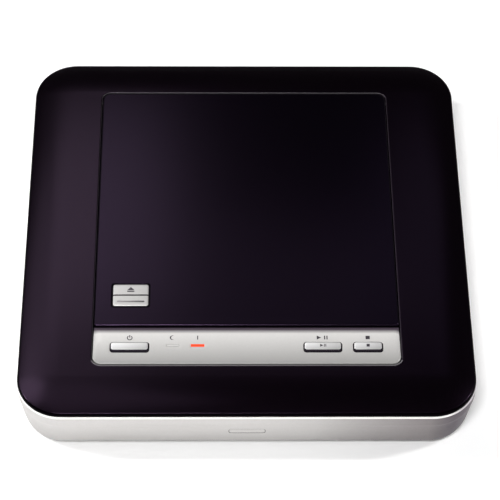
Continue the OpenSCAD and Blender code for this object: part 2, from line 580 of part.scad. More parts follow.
module lid_bumpers() color([.1, .1, .1]) for (x = [-76, 76])
  translate([x, -24, 0]) rotate_extrude() polygon([[0, 30.05], [2, 30.05], [2.6, 30.6], [3, 35.38], [0, 35.38]]);

module lid_gear_sector() color([.85, .85, .82]) difference() {
  yz(40.3, 43.7) translate([hinge_y, hinge_z]) union() {
    intersection() {
      circle(sector_r - 1, $fn = 96);
      polygon([[0, 0], 16*[cos(235), sin(235)], 16*[cos(260), sin(260)], 16*[cos(290), sin(290)], 16*[cos(315), sin(315)], 16*[cos(337), sin(337)]]);
    }
    for (i = [-1:7]) rotate([0, 0, mesh_a + 12*i]) tooth(sector_r, .6, 1.1, 1.02);
    translate([-5.8, -4]) square([9, 4]);
  }
  block(39, 70, lid_z0 - .02, 45, 120, 60);
}

module lid_damper() color([.9, .9, .86]) difference() {
  union() {
    xrod(45.2, 52, pinion_y, pinion_z, 4.85);
    block(45.2, pinion_y - 4.5, pinion_z, 52, pinion_y + 4.5, tray_z - 2.02);
  }
  xrod(45, 51, pinion_y, pinion_z, 1.25);
}

module damper_pinion() color([.2, .2, .21]) {
  yz(40.1, 43.9) translate([pinion_y, pinion_z]) union() {
    circle(pinion_r - .95);
    for (i = [0:9]) rotate([0, 0, mesh_a - 180 + 18 + 36*i]) tooth(pinion_r, .6, 1.1, 1.02);
  }
  xrod(43.8, 50.5, pinion_y, pinion_z, 1.2);
}

module latch_housing() color([.15, .15, .16]) difference() {
  union() {
    difference() {
      block(-78.5, -64.5, 31.2, -49.5, -35.5, 35.38);
      block(-77.3, -63.3, 32.4, -50.7, -36.7, 36);
    }
    for (x = [-70.6, -58.9]) block(x, -60.4, 31.8, x + 1.3, -53.6, 34.9);
    post(open_key_x, -43.6, 31.8, 33.6, 1.9);
  }
  block(-69.3, -65, 31, -58.9, -48.3, 36);
  xrod(-72, -56, latch_y, latch_z, .82);
}

module latch_pin() color([.8, .8, .82]) xrod(-70.5, -57.7, latch_y, latch_z, .8);

module latch_lever() color([.85, .85, .83]) difference() {
  union() {
    xrod(-68.8, -59.4, latch_y, latch_z, 1.85);
    block(-68.8, latch_y, 32.8, -59.4, latch_y + 7.5, 34.4);
    yz(-68.8, -59.4) polygon([[latch_y - 1.2, 33], [latch_y - 1.2, 25.6], [latch_y + .6, 25.6], [latch_y + 2.2, 27], [latch_y + 2.2, 27.8], [latch_y + .8, 27.8], [latch_y + .8, 33]]);
  }
  xrod(-70, -58, latch_y, latch_z, .85);
}

module open_key() color([.82, .81, .79]) difference() {
  union() {
    translate([open_key_x, open_key_y, 36.9]) linear_extrude(key_top - 36.9 - .4) rrect(-10.45, -7.75, 10.45, 7.75, 1.5, 1.5);
    translate([open_key_x, open_key_y, 37.9]) linear_extrude(key_top - 37.9) rrect(-10.05, -7.35, 10.05, 7.35, 1.1, 1.1);
    block(-76, -53.3, 35.7, -52.2, -38.6, 36.95);
    block(-67.1, -51.4, 34.55, -61.1, -49.6, 36);
  }
  // groove across the middle and finger line
  yz(-80, -50) polygon([[open_key_y - .1 - .8, 41], [open_key_y - .1, 39.2], [open_key_y + .1, 39.2], [open_key_y + .9, 41]]);
  block(-72, -52.3, key_top - .5, -56, -51.4, 42);
}

module open_key_spring() color([.8, .8, .82]) translate([open_key_x, -43.6, 0]) helix(2.9, .3, .62, 4.3, 32.72);

// ---------- drawing ----------

base_housing();
top_cover();
rear_panel();
rubber_feet();
housing_screws();
ir_window();
disc_tray();
tray_screws();
control_strip();
key_board();
key_switches();
indicator_leds();
standby_led_lens();
on_led_lens();
main_board();
board_components();
heat_sink();
power_board();
transformer();
power_capacitors();
mains_inlet();
inlet_pins();
inlet_wires();
av_jack_block();
av_jack_barrels();
jack_ring_yellow();
jack_ring_white();
jack_ring_red();
flex_cable();
traverse_frame();
isolation_grommets();
traverse_screws();
guide_rods();
spindle_motor();
sled_motor();
lid_damper();
lid_panel();
lid_liner();
lid_screws();
hinge_pins();
lid_bumpers();
lid_gear_sector();
latch_housing();
latch_pin();
open_key();
open_key_spring();
latch_lever();
damper_pinion();
power_key();
play_key();
stop_key();
turntable();
hub_balls();
spindle_shaft();
pickup_sled();
actuator_cover();
lens_holder();
objective_lens();
lead_screw();
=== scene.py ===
import json
import math

import bmesh
import bpy
from mathutils import Matrix, Vector, geometry

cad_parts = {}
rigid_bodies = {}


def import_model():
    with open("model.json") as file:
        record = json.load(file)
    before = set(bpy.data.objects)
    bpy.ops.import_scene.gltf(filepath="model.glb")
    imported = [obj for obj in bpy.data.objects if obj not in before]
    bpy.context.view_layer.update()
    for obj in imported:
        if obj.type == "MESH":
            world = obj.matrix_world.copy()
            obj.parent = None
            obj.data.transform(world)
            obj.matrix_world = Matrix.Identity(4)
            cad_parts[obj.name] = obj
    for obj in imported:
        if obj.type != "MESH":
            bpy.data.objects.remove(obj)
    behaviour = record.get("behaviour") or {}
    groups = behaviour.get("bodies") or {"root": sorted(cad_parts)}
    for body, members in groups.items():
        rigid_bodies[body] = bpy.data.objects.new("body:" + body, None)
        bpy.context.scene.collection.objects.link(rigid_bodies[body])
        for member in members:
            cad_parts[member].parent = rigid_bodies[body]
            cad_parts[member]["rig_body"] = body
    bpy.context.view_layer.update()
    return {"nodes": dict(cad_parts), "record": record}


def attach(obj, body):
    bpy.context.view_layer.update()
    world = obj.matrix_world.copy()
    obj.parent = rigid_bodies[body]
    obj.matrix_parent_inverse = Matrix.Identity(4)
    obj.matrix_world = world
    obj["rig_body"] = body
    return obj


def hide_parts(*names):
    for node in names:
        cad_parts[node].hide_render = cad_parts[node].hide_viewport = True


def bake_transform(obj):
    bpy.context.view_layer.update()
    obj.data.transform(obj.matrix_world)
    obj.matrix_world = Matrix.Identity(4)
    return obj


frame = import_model()
MM = 0.001

# ---------------------------------------------------------------------------
# sizes, in millimetres, as the CAD part has them
# ---------------------------------------------------------------------------
R = 25.0                      # corner radius of the lower shell at its lip
CX, CY = 100.0, 99.0          # corner centres
F, FL, S, T = 3.0, 5.0, 34.5, 39.5
OHW, OY0, OY1 = 84.4, -93.6, 99.3
LHW, LY0, LY1 = 84.0, -67.9, 98.9
KEY_Y, LED_Y = -82.05, -80.9
POWER_X, PLAY_X, STOP_X = -64.0, 41.55, 66.25
OKX, OKY = -64.1, -47.8
HINGE_Y, HINGE_Z = 91.9, 38.0
KEY_TOP = 40.05


# ---------------------------------------------------------------------------
# mesh building
# ---------------------------------------------------------------------------
def rr(x0, y0, x1, y1, rf, rb, n=10):
    """Rounded rectangle as a function of its inset, counter-clockwise, always the same number of points."""
    def f(d):
        a0, b0, a1, b1 = x0 + d, y0 + d, x1 - d, y1 - d
        ra, rc = max(rf - d, 0.01), max(rb - d, 0.01)
        out = []
        for cx, cy, r, s in ((a0 + ra, b0 + ra, ra, 180), (a1 - ra, b0 + ra, ra, 270),
                             (a1 - rc, b1 - rc, rc, 0), (a0 + rc, b1 - rc, rc, 90)):
            for k in range(n + 1):
                t = math.radians(s + 90.0 * k / n)
                out.append((cx + r * math.cos(t), cy + r * math.sin(t)))
        return out
    return f


def circ(cx, cy, r, n=32):
    def f(d):
        q = max(r - d, 0.01)
        return [(cx + q * math.cos(2 * math.pi * k / n), cy + q * math.sin(2 * math.pi * k / n)) for k in range(n)]
    return f


def pill(cx, cy, w, h, n=8):
    r = min(w, h) / 2
    return rr(cx - w / 2, cy - h / 2, cx + w / 2, cy + h / 2, r, r, n)


def fillet(r, n, top=0.0, inset=0.0):
    """Quarter round from the flat top (inset + r, top) to the wall (inset, top - r)."""
    return [(inset + r - r * math.sin(math.radians(90.0 * k / n)), top - r + r * math.cos(math.radians(90.0 * k / n)))
            for k in range(n + 1)]


def fillet_up(r, n, bottom=0.0, inset=0.0):
    """Quarter round from the wall (inset, bottom + r) to the flat bottom (inset + r, bottom)."""
    return [(i, 2 * bottom - z) for i, z in reversed(fillet(r, n, bottom, inset))]


class Solid:
    def __init__(self):
        self.v, self.f, self.m, self.mat = [], [], [], 0

    def ring(self, pts, z):
        a = len(self.v)
        self.v += [(p[0], p[1], z(p[0], p[1]) if callable(z) else z) for p in pts]
        return list(range(a, a + len(pts)))

    def ring3(self, pts):
        a = len(self.v)
        self.v += [tuple(p) for p in pts]
        return list(range(a, a + len(pts)))

    def face(self, idx):
        self.f.append(tuple(idx))
        self.m.append(self.mat)

    def wall(self, upper, lower, inward=False):
        """Quads between two rings; outward facing for a counter-clockwise upper ring above its lower ring."""
        n = len(upper)
        for k in range(n):
            q = (upper[k], lower[k], lower[(k + 1) % n], upper[(k + 1) % n])
            self.face(tuple(reversed(q)) if inward else q)

    def stack(self, f, profile, inward=False, sign=1.0):
        """Rings at (inset, z) from top to bottom, joined by walls. Returns the first and last ring."""
        rings = [self.ring(f(sign * i), z) for i, z in profile]
        for a, b in zip(rings, rings[1:]):
            self.wall(a, b, inward)
        return rings[0], rings[-1]

    def cap(self, outer, holes=(), up=True):
        """Flat face between an outer ring and hole rings."""
        polys = [[Vector((self.v[i][0], self.v[i][1], 0)) for i in ring] for ring in (outer, *holes)]
        flat = [i for ring in (outer, *holes) for i in ring]
        for t in geometry.tessellate_polygon(polys):
            a, b, c = (flat[i] for i in t)
            ax, ay = self.v[a][:2]
            bx, by = self.v[b][:2]
            cx, cy = self.v[c][:2]
            area = (bx - ax) * (cy - ay) - (by - ay) * (cx - ax)
            if abs(area) < 1e-9:
                continue
            if (area > 0) != up:
                a, b, c = c, b, a
            self.face((a, b, c))

    def cap_grid(self, outer, holes, z, step_x, rows):
        """Upward face that follows z(x, y), with a grid of inner points; rows are the y values of the grid."""
        pts = [Vector(self.v[i][:2]) for ring in (outer, *holes) for i in ring]
        index = [i for ring in (outer, *holes) for i in ring]
        polys, at = [], 0
        edges = []
        for ring in (outer, *holes):
            n = len(ring)
            polys.append(pts[at:at + n])
            edges += [(at + k, at + (k + 1) % n) for k in range(n)]
            at += n

        def inside(p, poly):
            c = False
            j = len(poly) - 1
            for i in range(len(poly)):
                a, b = poly[i], poly[j]
                if (a.y > p.y) != (b.y > p.y) and p.x < (b.x - a.x) * (p.y - a.y) / (b.y - a.y) + a.x:
                    c = not c
                j = i
            return c

        def far(p, poly, d):
            for i in range(len(poly)):
                a, b = poly[i - 1], poly[i]
                ab = b - a
                t = max(0.0, min(1.0, (p - a).dot(ab) / max(ab.length_squared, 1e-12)))
                if (a + ab * t - p).length < d:
                    return False
            return True

        xs = [p.x for p in polys[0]]
        x0, x1 = min(xs), max(xs)
        nx = max(2, int((x1 - x0) / step_x))
        for y in rows:
            for k in range(1, nx):
                p = Vector((x0 + (x1 - x0) * k / nx, y))
                if inside(p, polys[0]) and not any(inside(p, h) for h in polys[1:]) and all(far(p, q, 0.12) for q in polys):
                    pts.append(p)
                    self.v.append((p.x, p.y, z(p.x, p.y)))
                    index.append(len(self.v) - 1)
        got = geometry.delaunay_2d_cdt(pts, edges, [], 0, 1e-7)
        vs, faces, orig = got[0], got[2], got[3]
        for t in faces:
            c = sum((vs[i] for i in t), Vector((0, 0))) / len(t)
            if not inside(c, polys[0]) or any(inside(c, h) for h in polys[1:]):
                continue
            ids = [index[orig[i][0]] for i in t]
            a, b, d = (Vector(self.v[i][:2]) for i in ids[:3])
            if (b - a).cross(d - a) < 0:
                ids.reverse()
            self.face(ids)

    def finish(self, name, mats, body, slot=None, replaces=(), sharp=32.0, weighted=True, move=None):
        me = bpy.data.meshes.new(name)
        me.from_pydata([(x * MM, y * MM, z * MM) for x, y, z in self.v], [], self.f)
        for k, m in enumerate(mats if isinstance(mats, (list, tuple)) else [mats]):
            me.materials.append(m)
        me.polygons.foreach_set("material_index", self.m)
        me.polygons.foreach_set("use_smooth", [True] * len(me.polygons))
        ob = bpy.data.objects.new(name, me)
        bpy.context.scene.collection.objects.link(ob)
        clean(ob)
        dress(ob, body, replaces, sharp, weighted)
        return ob


def clean(ob):
    bm = bmesh.new()
    bm.from_mesh(ob.data)
    bmesh.ops.remove_doubles(bm, verts=bm.verts, dist=2e-6)
    bmesh.ops.dissolve_degenerate(bm, edges=bm.edges, dist=1e-6)
    loose = [v for v in bm.verts if not v.link_faces]
    if loose:
        bmesh.ops.delete(bm, geom=loose, context="VERTS")
    bm.to_mesh(ob.data)
    bm.free()


def dress(ob, body, replaces=(), sharp=32.0, weighted=True):
    ob.data.polygons.foreach_set("use_smooth", [True] * len(ob.data.polygons))
    ob.data.set_sharp_from_angle(angle=math.radians(sharp))
    if weighted and "wn" not in ob.modifiers:
        m = ob.modifiers.new("wn", "WEIGHTED_NORMAL")
        m.mode, m.weight, m.keep_sharp = "FACE_AREA", 50, True
    if ob.get("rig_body") is None and body:
        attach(ob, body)
    if replaces:
        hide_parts(*replaces)


def boolean(ob, tool, op="DIFFERENCE"):
    """Cuts tool out of ob, or adds it, exactly, and leaves a plain mesh."""
    m = ob.modifiers.new("bool", "BOOLEAN")
    m.object, m.operation, m.solver = tool, op, "EXACT"
    dg = bpy.context.evaluated_depsgraph_get()
    me = bpy.data.meshes.new_from_object(ob.evaluated_get(dg))
    ob.modifiers.remove(m)
    old = ob.data
    ob.data = me
    me.name = ob.name
    bpy.data.meshes.remove(old)
    bpy.data.objects.remove(tool)
    bm = bmesh.new()
    bm.from_mesh(ob.data)
    bmesh.ops.remove_doubles(bm, verts=bm.verts, dist=2e-6)
    bmesh.ops.dissolve_degenerate(bm, edges=bm.edges, dist=1e-6)
    bm.to_mesh(ob.data)
    bm.free()


def raw(s, name="tool", mat=None):
    """A Solid as a plain object with no looks, for booleans."""
    me = bpy.data.meshes.new(name)
    me.from_pydata([(x * MM, y * MM, z * MM) for x, y, z in s.v], [], s.f)
    if mat:
        for m in (mat if isinstance(mat, (list, tuple)) else [mat]):
            me.materials.append(m)
        if isinstance(mat, (list, tuple)):
            me.polygons.foreach_set("material_index", s.m)
    ob = bpy.data.objects.new(name, me)
    bpy.context.scene.collection.objects.link(ob)
    clean(ob)
    return ob


def box_into(s, x0, y0, z0, x1, y1, z1, r=0.0):
    f = rr(x0, y0, x1, y1, r, r, 6) if r else (lambda d: [(x0, y0), (x1, y0), (x1, y1), (x0, y1)])
    a, b = s.stack(f, [(0, z1), (0, z0)])
    s.cap(a)
    s.cap(b, up=False)


def post_into(s, x, y, z0, z1, r, n=32):
    a, b = s.stack(circ(x, y, r, n), [(0, z1), (0, z0)])
    s.cap(a)
    s.cap(b, up=False)


def turn_pts(s, fn):
    s.v = [fn(*p) for p in s.v]


# ---------------------------------------------------------------------------
# materials, all procedural
# ---------------------------------------------------------------------------
def principled(name, base, rough, metallic=0.0, spec=None, coat=0.0, coat_rough=0.1, ior=None,
               grain=None, tint=None, rough_var=None, bump=None, emission=None, transmission=0.0,
               sub=0.0, sheen=None, anis=0.0, gloss_tint=None, ramps=()):
    """Principled material. grain (scale, amount): fine value change; tint (scale, colour, amount): broad colour change;
    rough_var (scale, low, high); bump (scale, distance in mm, detail); gloss_tint colours the reflection;
    ramps (axis, from mm, to mm, factor, factor): painted light and shade, a slow change of value across the piece."""
    m = bpy.data.materials.new(name)
    m.use_nodes = True
    nt = m.node_tree
    b = nt.nodes["Principled BSDF"]
    L, N = nt.links, nt.nodes
    b.inputs["Base Color"].default_value = (*base, 1)
    b.inputs["Roughness"].default_value = rough
    b.inputs["Metallic"].default_value = metallic
    if spec is not None:
        b.inputs["Specular IOR Level"].default_value = spec
    if gloss_tint:
        b.inputs["Specular Tint"].default_value = (*gloss_tint, 1)
    if coat:
        b.inputs["Coat Weight"].default_value = coat
        b.inputs["Coat Roughness"].default_value = coat_rough
    if ior:
        b.inputs["IOR"].default_value = ior
    if transmission:
        b.inputs["Transmission Weight"].default_value = transmission
    if sub:
        b.inputs["Subsurface Weight"].default_value = sub
        b.inputs["Subsurface Scale"].default_value = 0.001
    if anis:
        b.inputs["Anisotropic"].default_value = anis
    if emission:
        b.inputs["Emission Color"].default_value = (*emission[0], 1)
        b.inputs["Emission Strength"].default_value = emission[1]
    tc = N.new("ShaderNodeTexCoord")

    def noise(scale, detail=3.0, roughness=0.5):
        n = N.new("ShaderNodeTexNoise")
        n.inputs["Scale"].default_value = scale
        n.inputs["Detail"].default_value = detail
        n.inputs["Roughness"].default_value = roughness
        L.new(tc.outputs["Object"], n.inputs["Vector"])
        return n

    col = None
    if tint:
        scale, other, amount = tint
        n = noise(scale, 2.0)
        r = N.new("ShaderNodeMapRange")
        r.inputs["From Min"].default_value, r.inputs["From Max"].default_value = 0.3, 0.7
        r.inputs["To Min"].default_value, r.inputs["To Max"].default_value = 0.0, amount
        L.new(n.outputs["Fac"], r.inputs["Value"])
        x = N.new("ShaderNodeMix")
        x.data_type = "RGBA"
        x.inputs[6].default_value = (*base, 1)
        x.inputs[7].default_value = (*other, 1)
        L.new(r.outputs["Result"], x.inputs[0])
        col = x.outputs[2]
    if grain:
        scale, amount = grain
        n = noise(scale, 1.0)
        r = N.new("ShaderNodeMapRange")
        r.inputs["From Min"].default_value, r.inputs["From Max"].default_value = 0.25, 0.75
        r.inputs["To Min"].default_value, r.inputs["To Max"].default_value = 1 - amount, 1 + amount
        L.new(n.outputs["Fac"], r.inputs["Value"])
        x = N.new("ShaderNodeMix")
        x.data_type, x.blend_type = "RGBA", "MULTIPLY"
        x.inputs[0].default_value = 1.0
        if col:
            L.new(col, x.inputs[6])
        else:
            x.inputs[6].default_value = (*base, 1)
        L.new(r.outputs["Result"], x.inputs[7])
        col = x.outputs[2]
    # ramps: painted light and shade; the base colour is multiplied by a factor, or a colour, that changes along the
    # object's own x, y or z
    for axis, a0, a1, f0, f1, *gate in ramps:
        sx = N.new("ShaderNodeSeparateXYZ")
        L.new(tc.outputs["Object"], sx.inputs[0])
        r = N.new("ShaderNodeMapRange")
        r.interpolation_type = "SMOOTHSTEP" if axis == "Z" else "LINEAR"
        r.inputs["From Min"].default_value, r.inputs["From Max"].default_value = a0 * MM, a1 * MM
        toned = isinstance(f1, tuple)
        r.inputs["To Min"].default_value, r.inputs["To Max"].default_value = (0.0, 1.0) if toned else (f0, f1)
        L.new(sx.outputs[axis], r.inputs["Value"])
        by = r.outputs["Result"]
        if toned:
            c = N.new("ShaderNodeMix")
            c.data_type = "RGBA"
            c.inputs[6].default_value = (f0, f0, f0, 1)
            c.inputs[7].default_value = (*f1, 1)
            L.new(by, c.inputs[0])
            by = c.outputs[2]
        x = N.new("ShaderNodeMix")
        x.data_type, x.blend_type, x.clamp_result = "RGBA", "MULTIPLY", False
        x.inputs[0].default_value = 1.0
        if gate:
            g = N.new("ShaderNodeMapRange")
            g.interpolation_type = "SMOOTHSTEP"
            g.inputs["From Min"].default_value, g.inputs["From Max"].default_value = gate[1] * MM, gate[2] * MM
            L.new(sx.outputs[gate[0]], g.inputs["Value"])
            L.new(g.outputs["Result"], x.inputs[0])
        if col:
            L.new(col, x.inputs[6])
        else:
            x.inputs[6].default_value = (*base, 1)
        L.new(by, x.inputs[7])
        col = x.outputs[2]
    if col:
        L.new(col, b.inputs["Base Color"])
    if rough_var:
        scale, lo, hi = rough_var
        n = noise(scale, 3.0)
        r = N.new("ShaderNodeMapRange")
        r.inputs["From Min"].default_value, r.inputs["From Max"].default_value = 0.3, 0.7
        r.inputs["To Min"].default_value, r.inputs["To Max"].default_value = lo, hi
        L.new(n.outputs["Fac"], r.inputs["Value"])
        L.new(r.outputs["Result"], b.inputs["Roughness"])
    if bump:
        scale, dist, detail = bump
        n = noise(scale, detail)
        u = N.new("ShaderNodeBump")
        u.inputs["Strength"].default_value = 1.0
        u.inputs["Distance"].default_value = dist * MM
        L.new(n.outputs["Fac"], u.inputs["Height"])
        L.new(u.outputs["Normal"], b.inputs["Normal"])
    return m


MAT = {
    # shell_silver: painted shade on the front of the lower shell, darker towards the right, purple-brown at the front
    # right corner, and darker towards the bottom
    "shell_silver": principled("shell_silver", (0.522, 0.505, 0.493), 0.45, metallic=0.2, grain=(900, 0.02),
                               tint=(45, (0.516, 0.499, 0.489), 0.5), bump=(1500, 0.002, 2.0), rough_var=(500, 0.43, 0.48),
                               ramps=(("X", 8, 118, 1.0, 0.60, "Y", -70, -112), ("X", 36, 104, 1.0, (0.48, 0.432, 0.45), "Y", -70, -112),
                                      ("X", 99, 112, 1.0, (0.34, 0.27, 0.38), "Y", -90, -110), ("Z", 12, 27, 0.87, 1.0, "Y", -100, -118),
                                      ("Z", 4, 15, 0.82, 1.0))),
    # lip: lighter than the shell, a painted highlight along the top edge of the lower shell, slightly lighter towards
    # the right, with painted shade at the front right corner
    "lip_painted_highlight": principled("lip_painted_highlight", (0.865, 0.845, 0.825), 0.38, metallic=0.2, grain=(900, 0.02), bump=(1500, 0.002, 2.0),
                             rough_var=(500, 0.36, 0.42), ramps=(("X", 40, 105, 1.0, 1.06, "Y", -70, -112), ("X", 108, 116, 1.0, (0.55, 0.50, 0.56), "Y", -90, -110))),
    # strip: painted shade, darker towards the front and dark purple on the rear shoulder that rolls down under the lid,
    # slightly lighter towards the right
    "strip_silver": principled("strip_silver", (0.635, 0.622, 0.606), 0.42, metallic=0.25, grain=(900, 0.015),
                               tint=(50, (0.622, 0.609, 0.594), 0.5), bump=(1500, 0.0015, 2.0), rough_var=(500, 0.43, 0.47),
                               ramps=(("Y", -73.5, -93.0, 1.0, 0.46), ("Y", -73.2, -70.25, 1.0, (0.105, 0.078, 0.112)), ("X", -60, 84, 1.0, 1.05))),
    # open key: painted shade, lighter at the left and darker towards the right
    "open_key_silver": principled("open_key_silver", (0.50, 0.49, 0.482), 0.34, metallic=0.3, grain=(900, 0.01),
                                  bump=(1500, 0.0008, 2.0), rough_var=(700, 0.34, 0.38), ramps=(("X", -74, -54, 1.04, 0.86),)),
    # near-black painted shade: the lower sides of the keys and their edges facing front or right, the walls of the
    # holes and slots round the keys and the window, and the bottom of the open key's groove
    "painted_shade_dark": principled("painted_shade_dark", (0.008, 0.005, 0.010), 0.5, spec=0.12, grain=(1500, 0.2), rough_var=(600, 0.45, 0.6)),
    # finger_line: painted shade in the finger slot, darker towards the right
    "finger_line": principled("finger_line", (0.30, 0.28, 0.29), 0.45, grain=(1500, 0.1), rough_var=(600, 0.4, 0.5),
                              ramps=(("X", -72.0, -57.5, 1.0, 0.12),)),
    "cover_black": principled("cover_black", (0.0009, 0.0004, 0.0009), 0.22, spec=0.24, gloss_tint=(0.90, 0.565, 1.0), grain=(1400, 0.25),
                              tint=(30, (0.0011, 0.0005, 0.0009), 0.6), bump=(1800, 0.002, 2.0), rough_var=(1500, 0.19, 0.26)),
    "lid_black": principled("lid_black", (0.0007, 0.0004, 0.0010), 0.22, spec=0.24, gloss_tint=(0.81, 0.50, 1.0), grain=(1400, 0.22),
                            tint=(30, (0.0008, 0.0005, 0.0011), 0.6), bump=(1800, 0.002, 2.0), rough_var=(1500, 0.19, 0.255)),
    # edge_line: a painted highlight, a lighter line on the soft edge of the cover's opening, dimmer along its left and
    # right sides; edge_line_front is the lighter line along its front edge
    "edge_line": principled("edge_line", (0.055, 0.050, 0.056), 0.4, spec=0.4, grain=(1400, 0.1), rough_var=(900, 0.36, 0.44),
                            ramps=(("X", 79, 84, 1.0, (0.45, 0.36, 0.47)), ("X", -79, -84, 1.0, (0.4, 0.34, 0.4)))),
    # cover_rim: near-black and almost without gloss, painted shade for the dark band on the cover's outer edge roll
    "cover_rim": principled("cover_rim", (0.0004, 0.0002, 0.0004), 0.30, spec=0.012, gloss_tint=(0.90, 0.565, 1.0), grain=(1400, 0.2), rough_var=(900, 0.28, 0.33)),
    "edge_line_front": principled("edge_line_front", (0.13, 0.12, 0.13), 0.4, spec=0.4, grain=(1400, 0.1), rough_var=(900, 0.36, 0.44)),
    "pin_blackened": principled("pin_blackened", (0.02, 0.02, 0.021), 0.5, metallic=0.6, grain=(1500, 0.2), rough_var=(600, 0.42, 0.58)),
    "tray_black": principled("tray_black", (0.022, 0.021, 0.024), 0.55, grain=(2600, 0.18), bump=(1900, 0.03, 3.0),
                             rough_var=(300, 0.50, 0.62)),
    "component_black": principled("component_black", (0.020, 0.020, 0.022), 0.48, grain=(1800, 0.15), bump=(2200, 0.01, 2.0),
                                  rough_var=(500, 0.42, 0.55)),
    "connector_black": principled("connector_black", (0.016, 0.016, 0.017), 0.42, grain=(1500, 0.12), bump=(2500, 0.008, 2.0),
                                  rough_var=(350, 0.36, 0.50)),
    "sled_black": principled("sled_black", (0.035, 0.035, 0.038), 0.5, grain=(1700, 0.3), bump=(1500, 0.02, 3.0),
                             rough_var=(260, 0.42, 0.58)),
    "rubber_black": principled("rubber_black", (0.018, 0.018, 0.018), 0.78, grain=(1400, 0.25), bump=(1600, 0.03, 3.0),
                               rough_var=(200, 0.70, 0.86)),
    "window_silver": principled("window_silver", (0.51, 0.493, 0.481), 0.42, metallic=0.2, grain=(900, 0.02),
                                rough_var=(800, 0.37, 0.43)),
    "lens_frosted": principled("lens_frosted", (0.57, 0.56, 0.546), 0.40, metallic=0.25, grain=(900, 0.02), bump=(1500, 0.0015, 2.0)),
    "lens_red": principled("lens_red", (0.50, 0.022, 0.012), 0.45, spec=0.2, emission=((0.85, 0.062, 0.010), 1.0), grain=(900, 0.05),
                           bump=(1500, 0.0015, 1.0)),
    "screw_zinc": principled("screw_zinc", (0.56, 0.56, 0.55), 0.30, metallic=1.0, grain=(1500, 0.10), bump=(2600, 0.006, 2.0),
                             rough_var=(600, 0.24, 0.40)),
    "rod_steel": principled("rod_steel", (0.62, 0.62, 0.63), 0.14, metallic=1.0, grain=(1200, 0.04), rough_var=(900, 0.10, 0.20)),
    "frame_steel": principled("frame_steel", (0.50, 0.505, 0.51), 0.34, metallic=1.0, tint=(160, (0.58, 0.585, 0.59), 0.8),
                              grain=(500, 0.10), bump=(900, 0.006, 3.0), rough_var=(220, 0.28, 0.46)),
    "motor_steel": principled("motor_steel", (0.55, 0.55, 0.555), 0.28, metallic=1.0, grain=(900, 0.06), bump=(1500, 0.004, 2.0),
                              rough_var=(300, 0.22, 0.36)),
    "heat_sink_aluminium": principled("heat_sink_aluminium", (0.60, 0.60, 0.61), 0.36, metallic=1.0, grain=(900, 0.08),
                                      bump=(1500, 0.006, 2.0), rough_var=(250, 0.30, 0.44)),
    "contact_brass": principled("contact_brass", (0.70, 0.55, 0.28), 0.22, metallic=1.0, grain=(900, 0.08), rough_var=(700, 0.16, 0.32)),
    "contact_nickel": principled("contact_nickel", (0.62, 0.60, 0.56), 0.20, metallic=1.0, grain=(900, 0.05), rough_var=(700, 0.14, 0.28)),
    "acetal_white": principled("acetal_white", (0.74, 0.73, 0.68), 0.38, sub=0.15, grain=(900, 0.03), bump=(1800, 0.006, 2.0),
                               rough_var=(400, 0.32, 0.46)),
    "board_green": principled("board_green", (0.012, 0.105, 0.045), 0.30, coat=0.3, tint=(420, (0.02, 0.15, 0.07), 0.7),
                              grain=(1200, 0.12), bump=(700, 0.02, 3.0), rough_var=(500, 0.25, 0.38)),
    "board_tan": principled("board_tan", (0.36, 0.22, 0.09), 0.55, tint=(260, (0.44, 0.29, 0.13), 0.8), grain=(1600, 0.12),
                            bump=(1300, 0.01, 3.0)),
    "led_white": principled("led_white", (0.78, 0.77, 0.70), 0.35, sub=0.2, grain=(1200, 0.03)),
    "transformer_yellow": principled("transformer_yellow", (0.52, 0.40, 0.07), 0.34, tint=(200, (0.62, 0.50, 0.12), 0.7),
                                     grain=(900, 0.08), bump=(700, 0.03, 2.0)),
    "capacitor_sleeve": principled("capacitor_sleeve", (0.012, 0.018, 0.07), 0.26, coat=0.3, grain=(900, 0.10), rough_var=(300, 0.20, 0.34)),
    "wire_brown": principled("wire_brown", (0.12, 0.05, 0.025), 0.45, grain=(900, 0.10), bump=(1500, 0.01, 2.0)),
    "ribbon_white": principled("ribbon_white", (0.70, 0.69, 0.65), 0.42, grain=(900, 0.05), rough_var=(400, 0.36, 0.50)),
    "ring_yellow": principled("ring_yellow", (0.78, 0.52, 0.02), 0.32, grain=(1100, 0.05), bump=(1800, 0.006, 2.0), rough_var=(500, 0.27, 0.38)),
    "ring_white": principled("ring_white", (0.78, 0.78, 0.75), 0.32, grain=(1100, 0.03), bump=(1800, 0.006, 2.0), rough_var=(500, 0.27, 0.38)),
    "ring_red": principled("ring_red", (0.55, 0.018, 0.018), 0.32, grain=(1100, 0.06), bump=(1800, 0.006, 2.0), rough_var=(500, 0.27, 0.38)),
    "lens_glass": principled("lens_glass", (0.35, 0.45, 0.80), 0.03, coat=1.0, coat_rough=0.02, spec=0.8, grain=(600, 0.1)),
}
# key tops: painted shade, each key darker towards its right end and towards its front
for nm, xa, xb in (("power", -74.5, -53.5), ("play", 31.3, 51.9), ("stop", 58.3, 74.2)):
    MAT["key_silver_" + nm] = principled("key_silver_" + nm, (0.78, 0.775, 0.77), 0.34, metallic=0.35, grain=(900, 0.01),
                                         bump=(1500, 0.0008, 2.0), rough_var=(700, 0.34, 0.38),
                                         ramps=(("X", xa, xb, 1.05, 0.70), ("Y", -81.0, -84.8, 1.0, 0.62)))
INK = principled("ink_grey", (0.030, 0.024, 0.032), 0.5, grain=(2500, 0.12), bump=(3000, 0.002, 1.0))

SLOT_OF = {r["node"]: r["material_slot"] for r in frame["record"]["subparts"]}
for node_name, ob in frame["nodes"].items():
    m = MAT.get(SLOT_OF[node_name])
    if m:
        ob.data.materials.clear()
        ob.data.materials.append(m)
frame["nodes"]["hinge_pins"].data.materials.clear()
frame["nodes"]["hinge_pins"].data.materials.append(MAT["pin_blackened"])


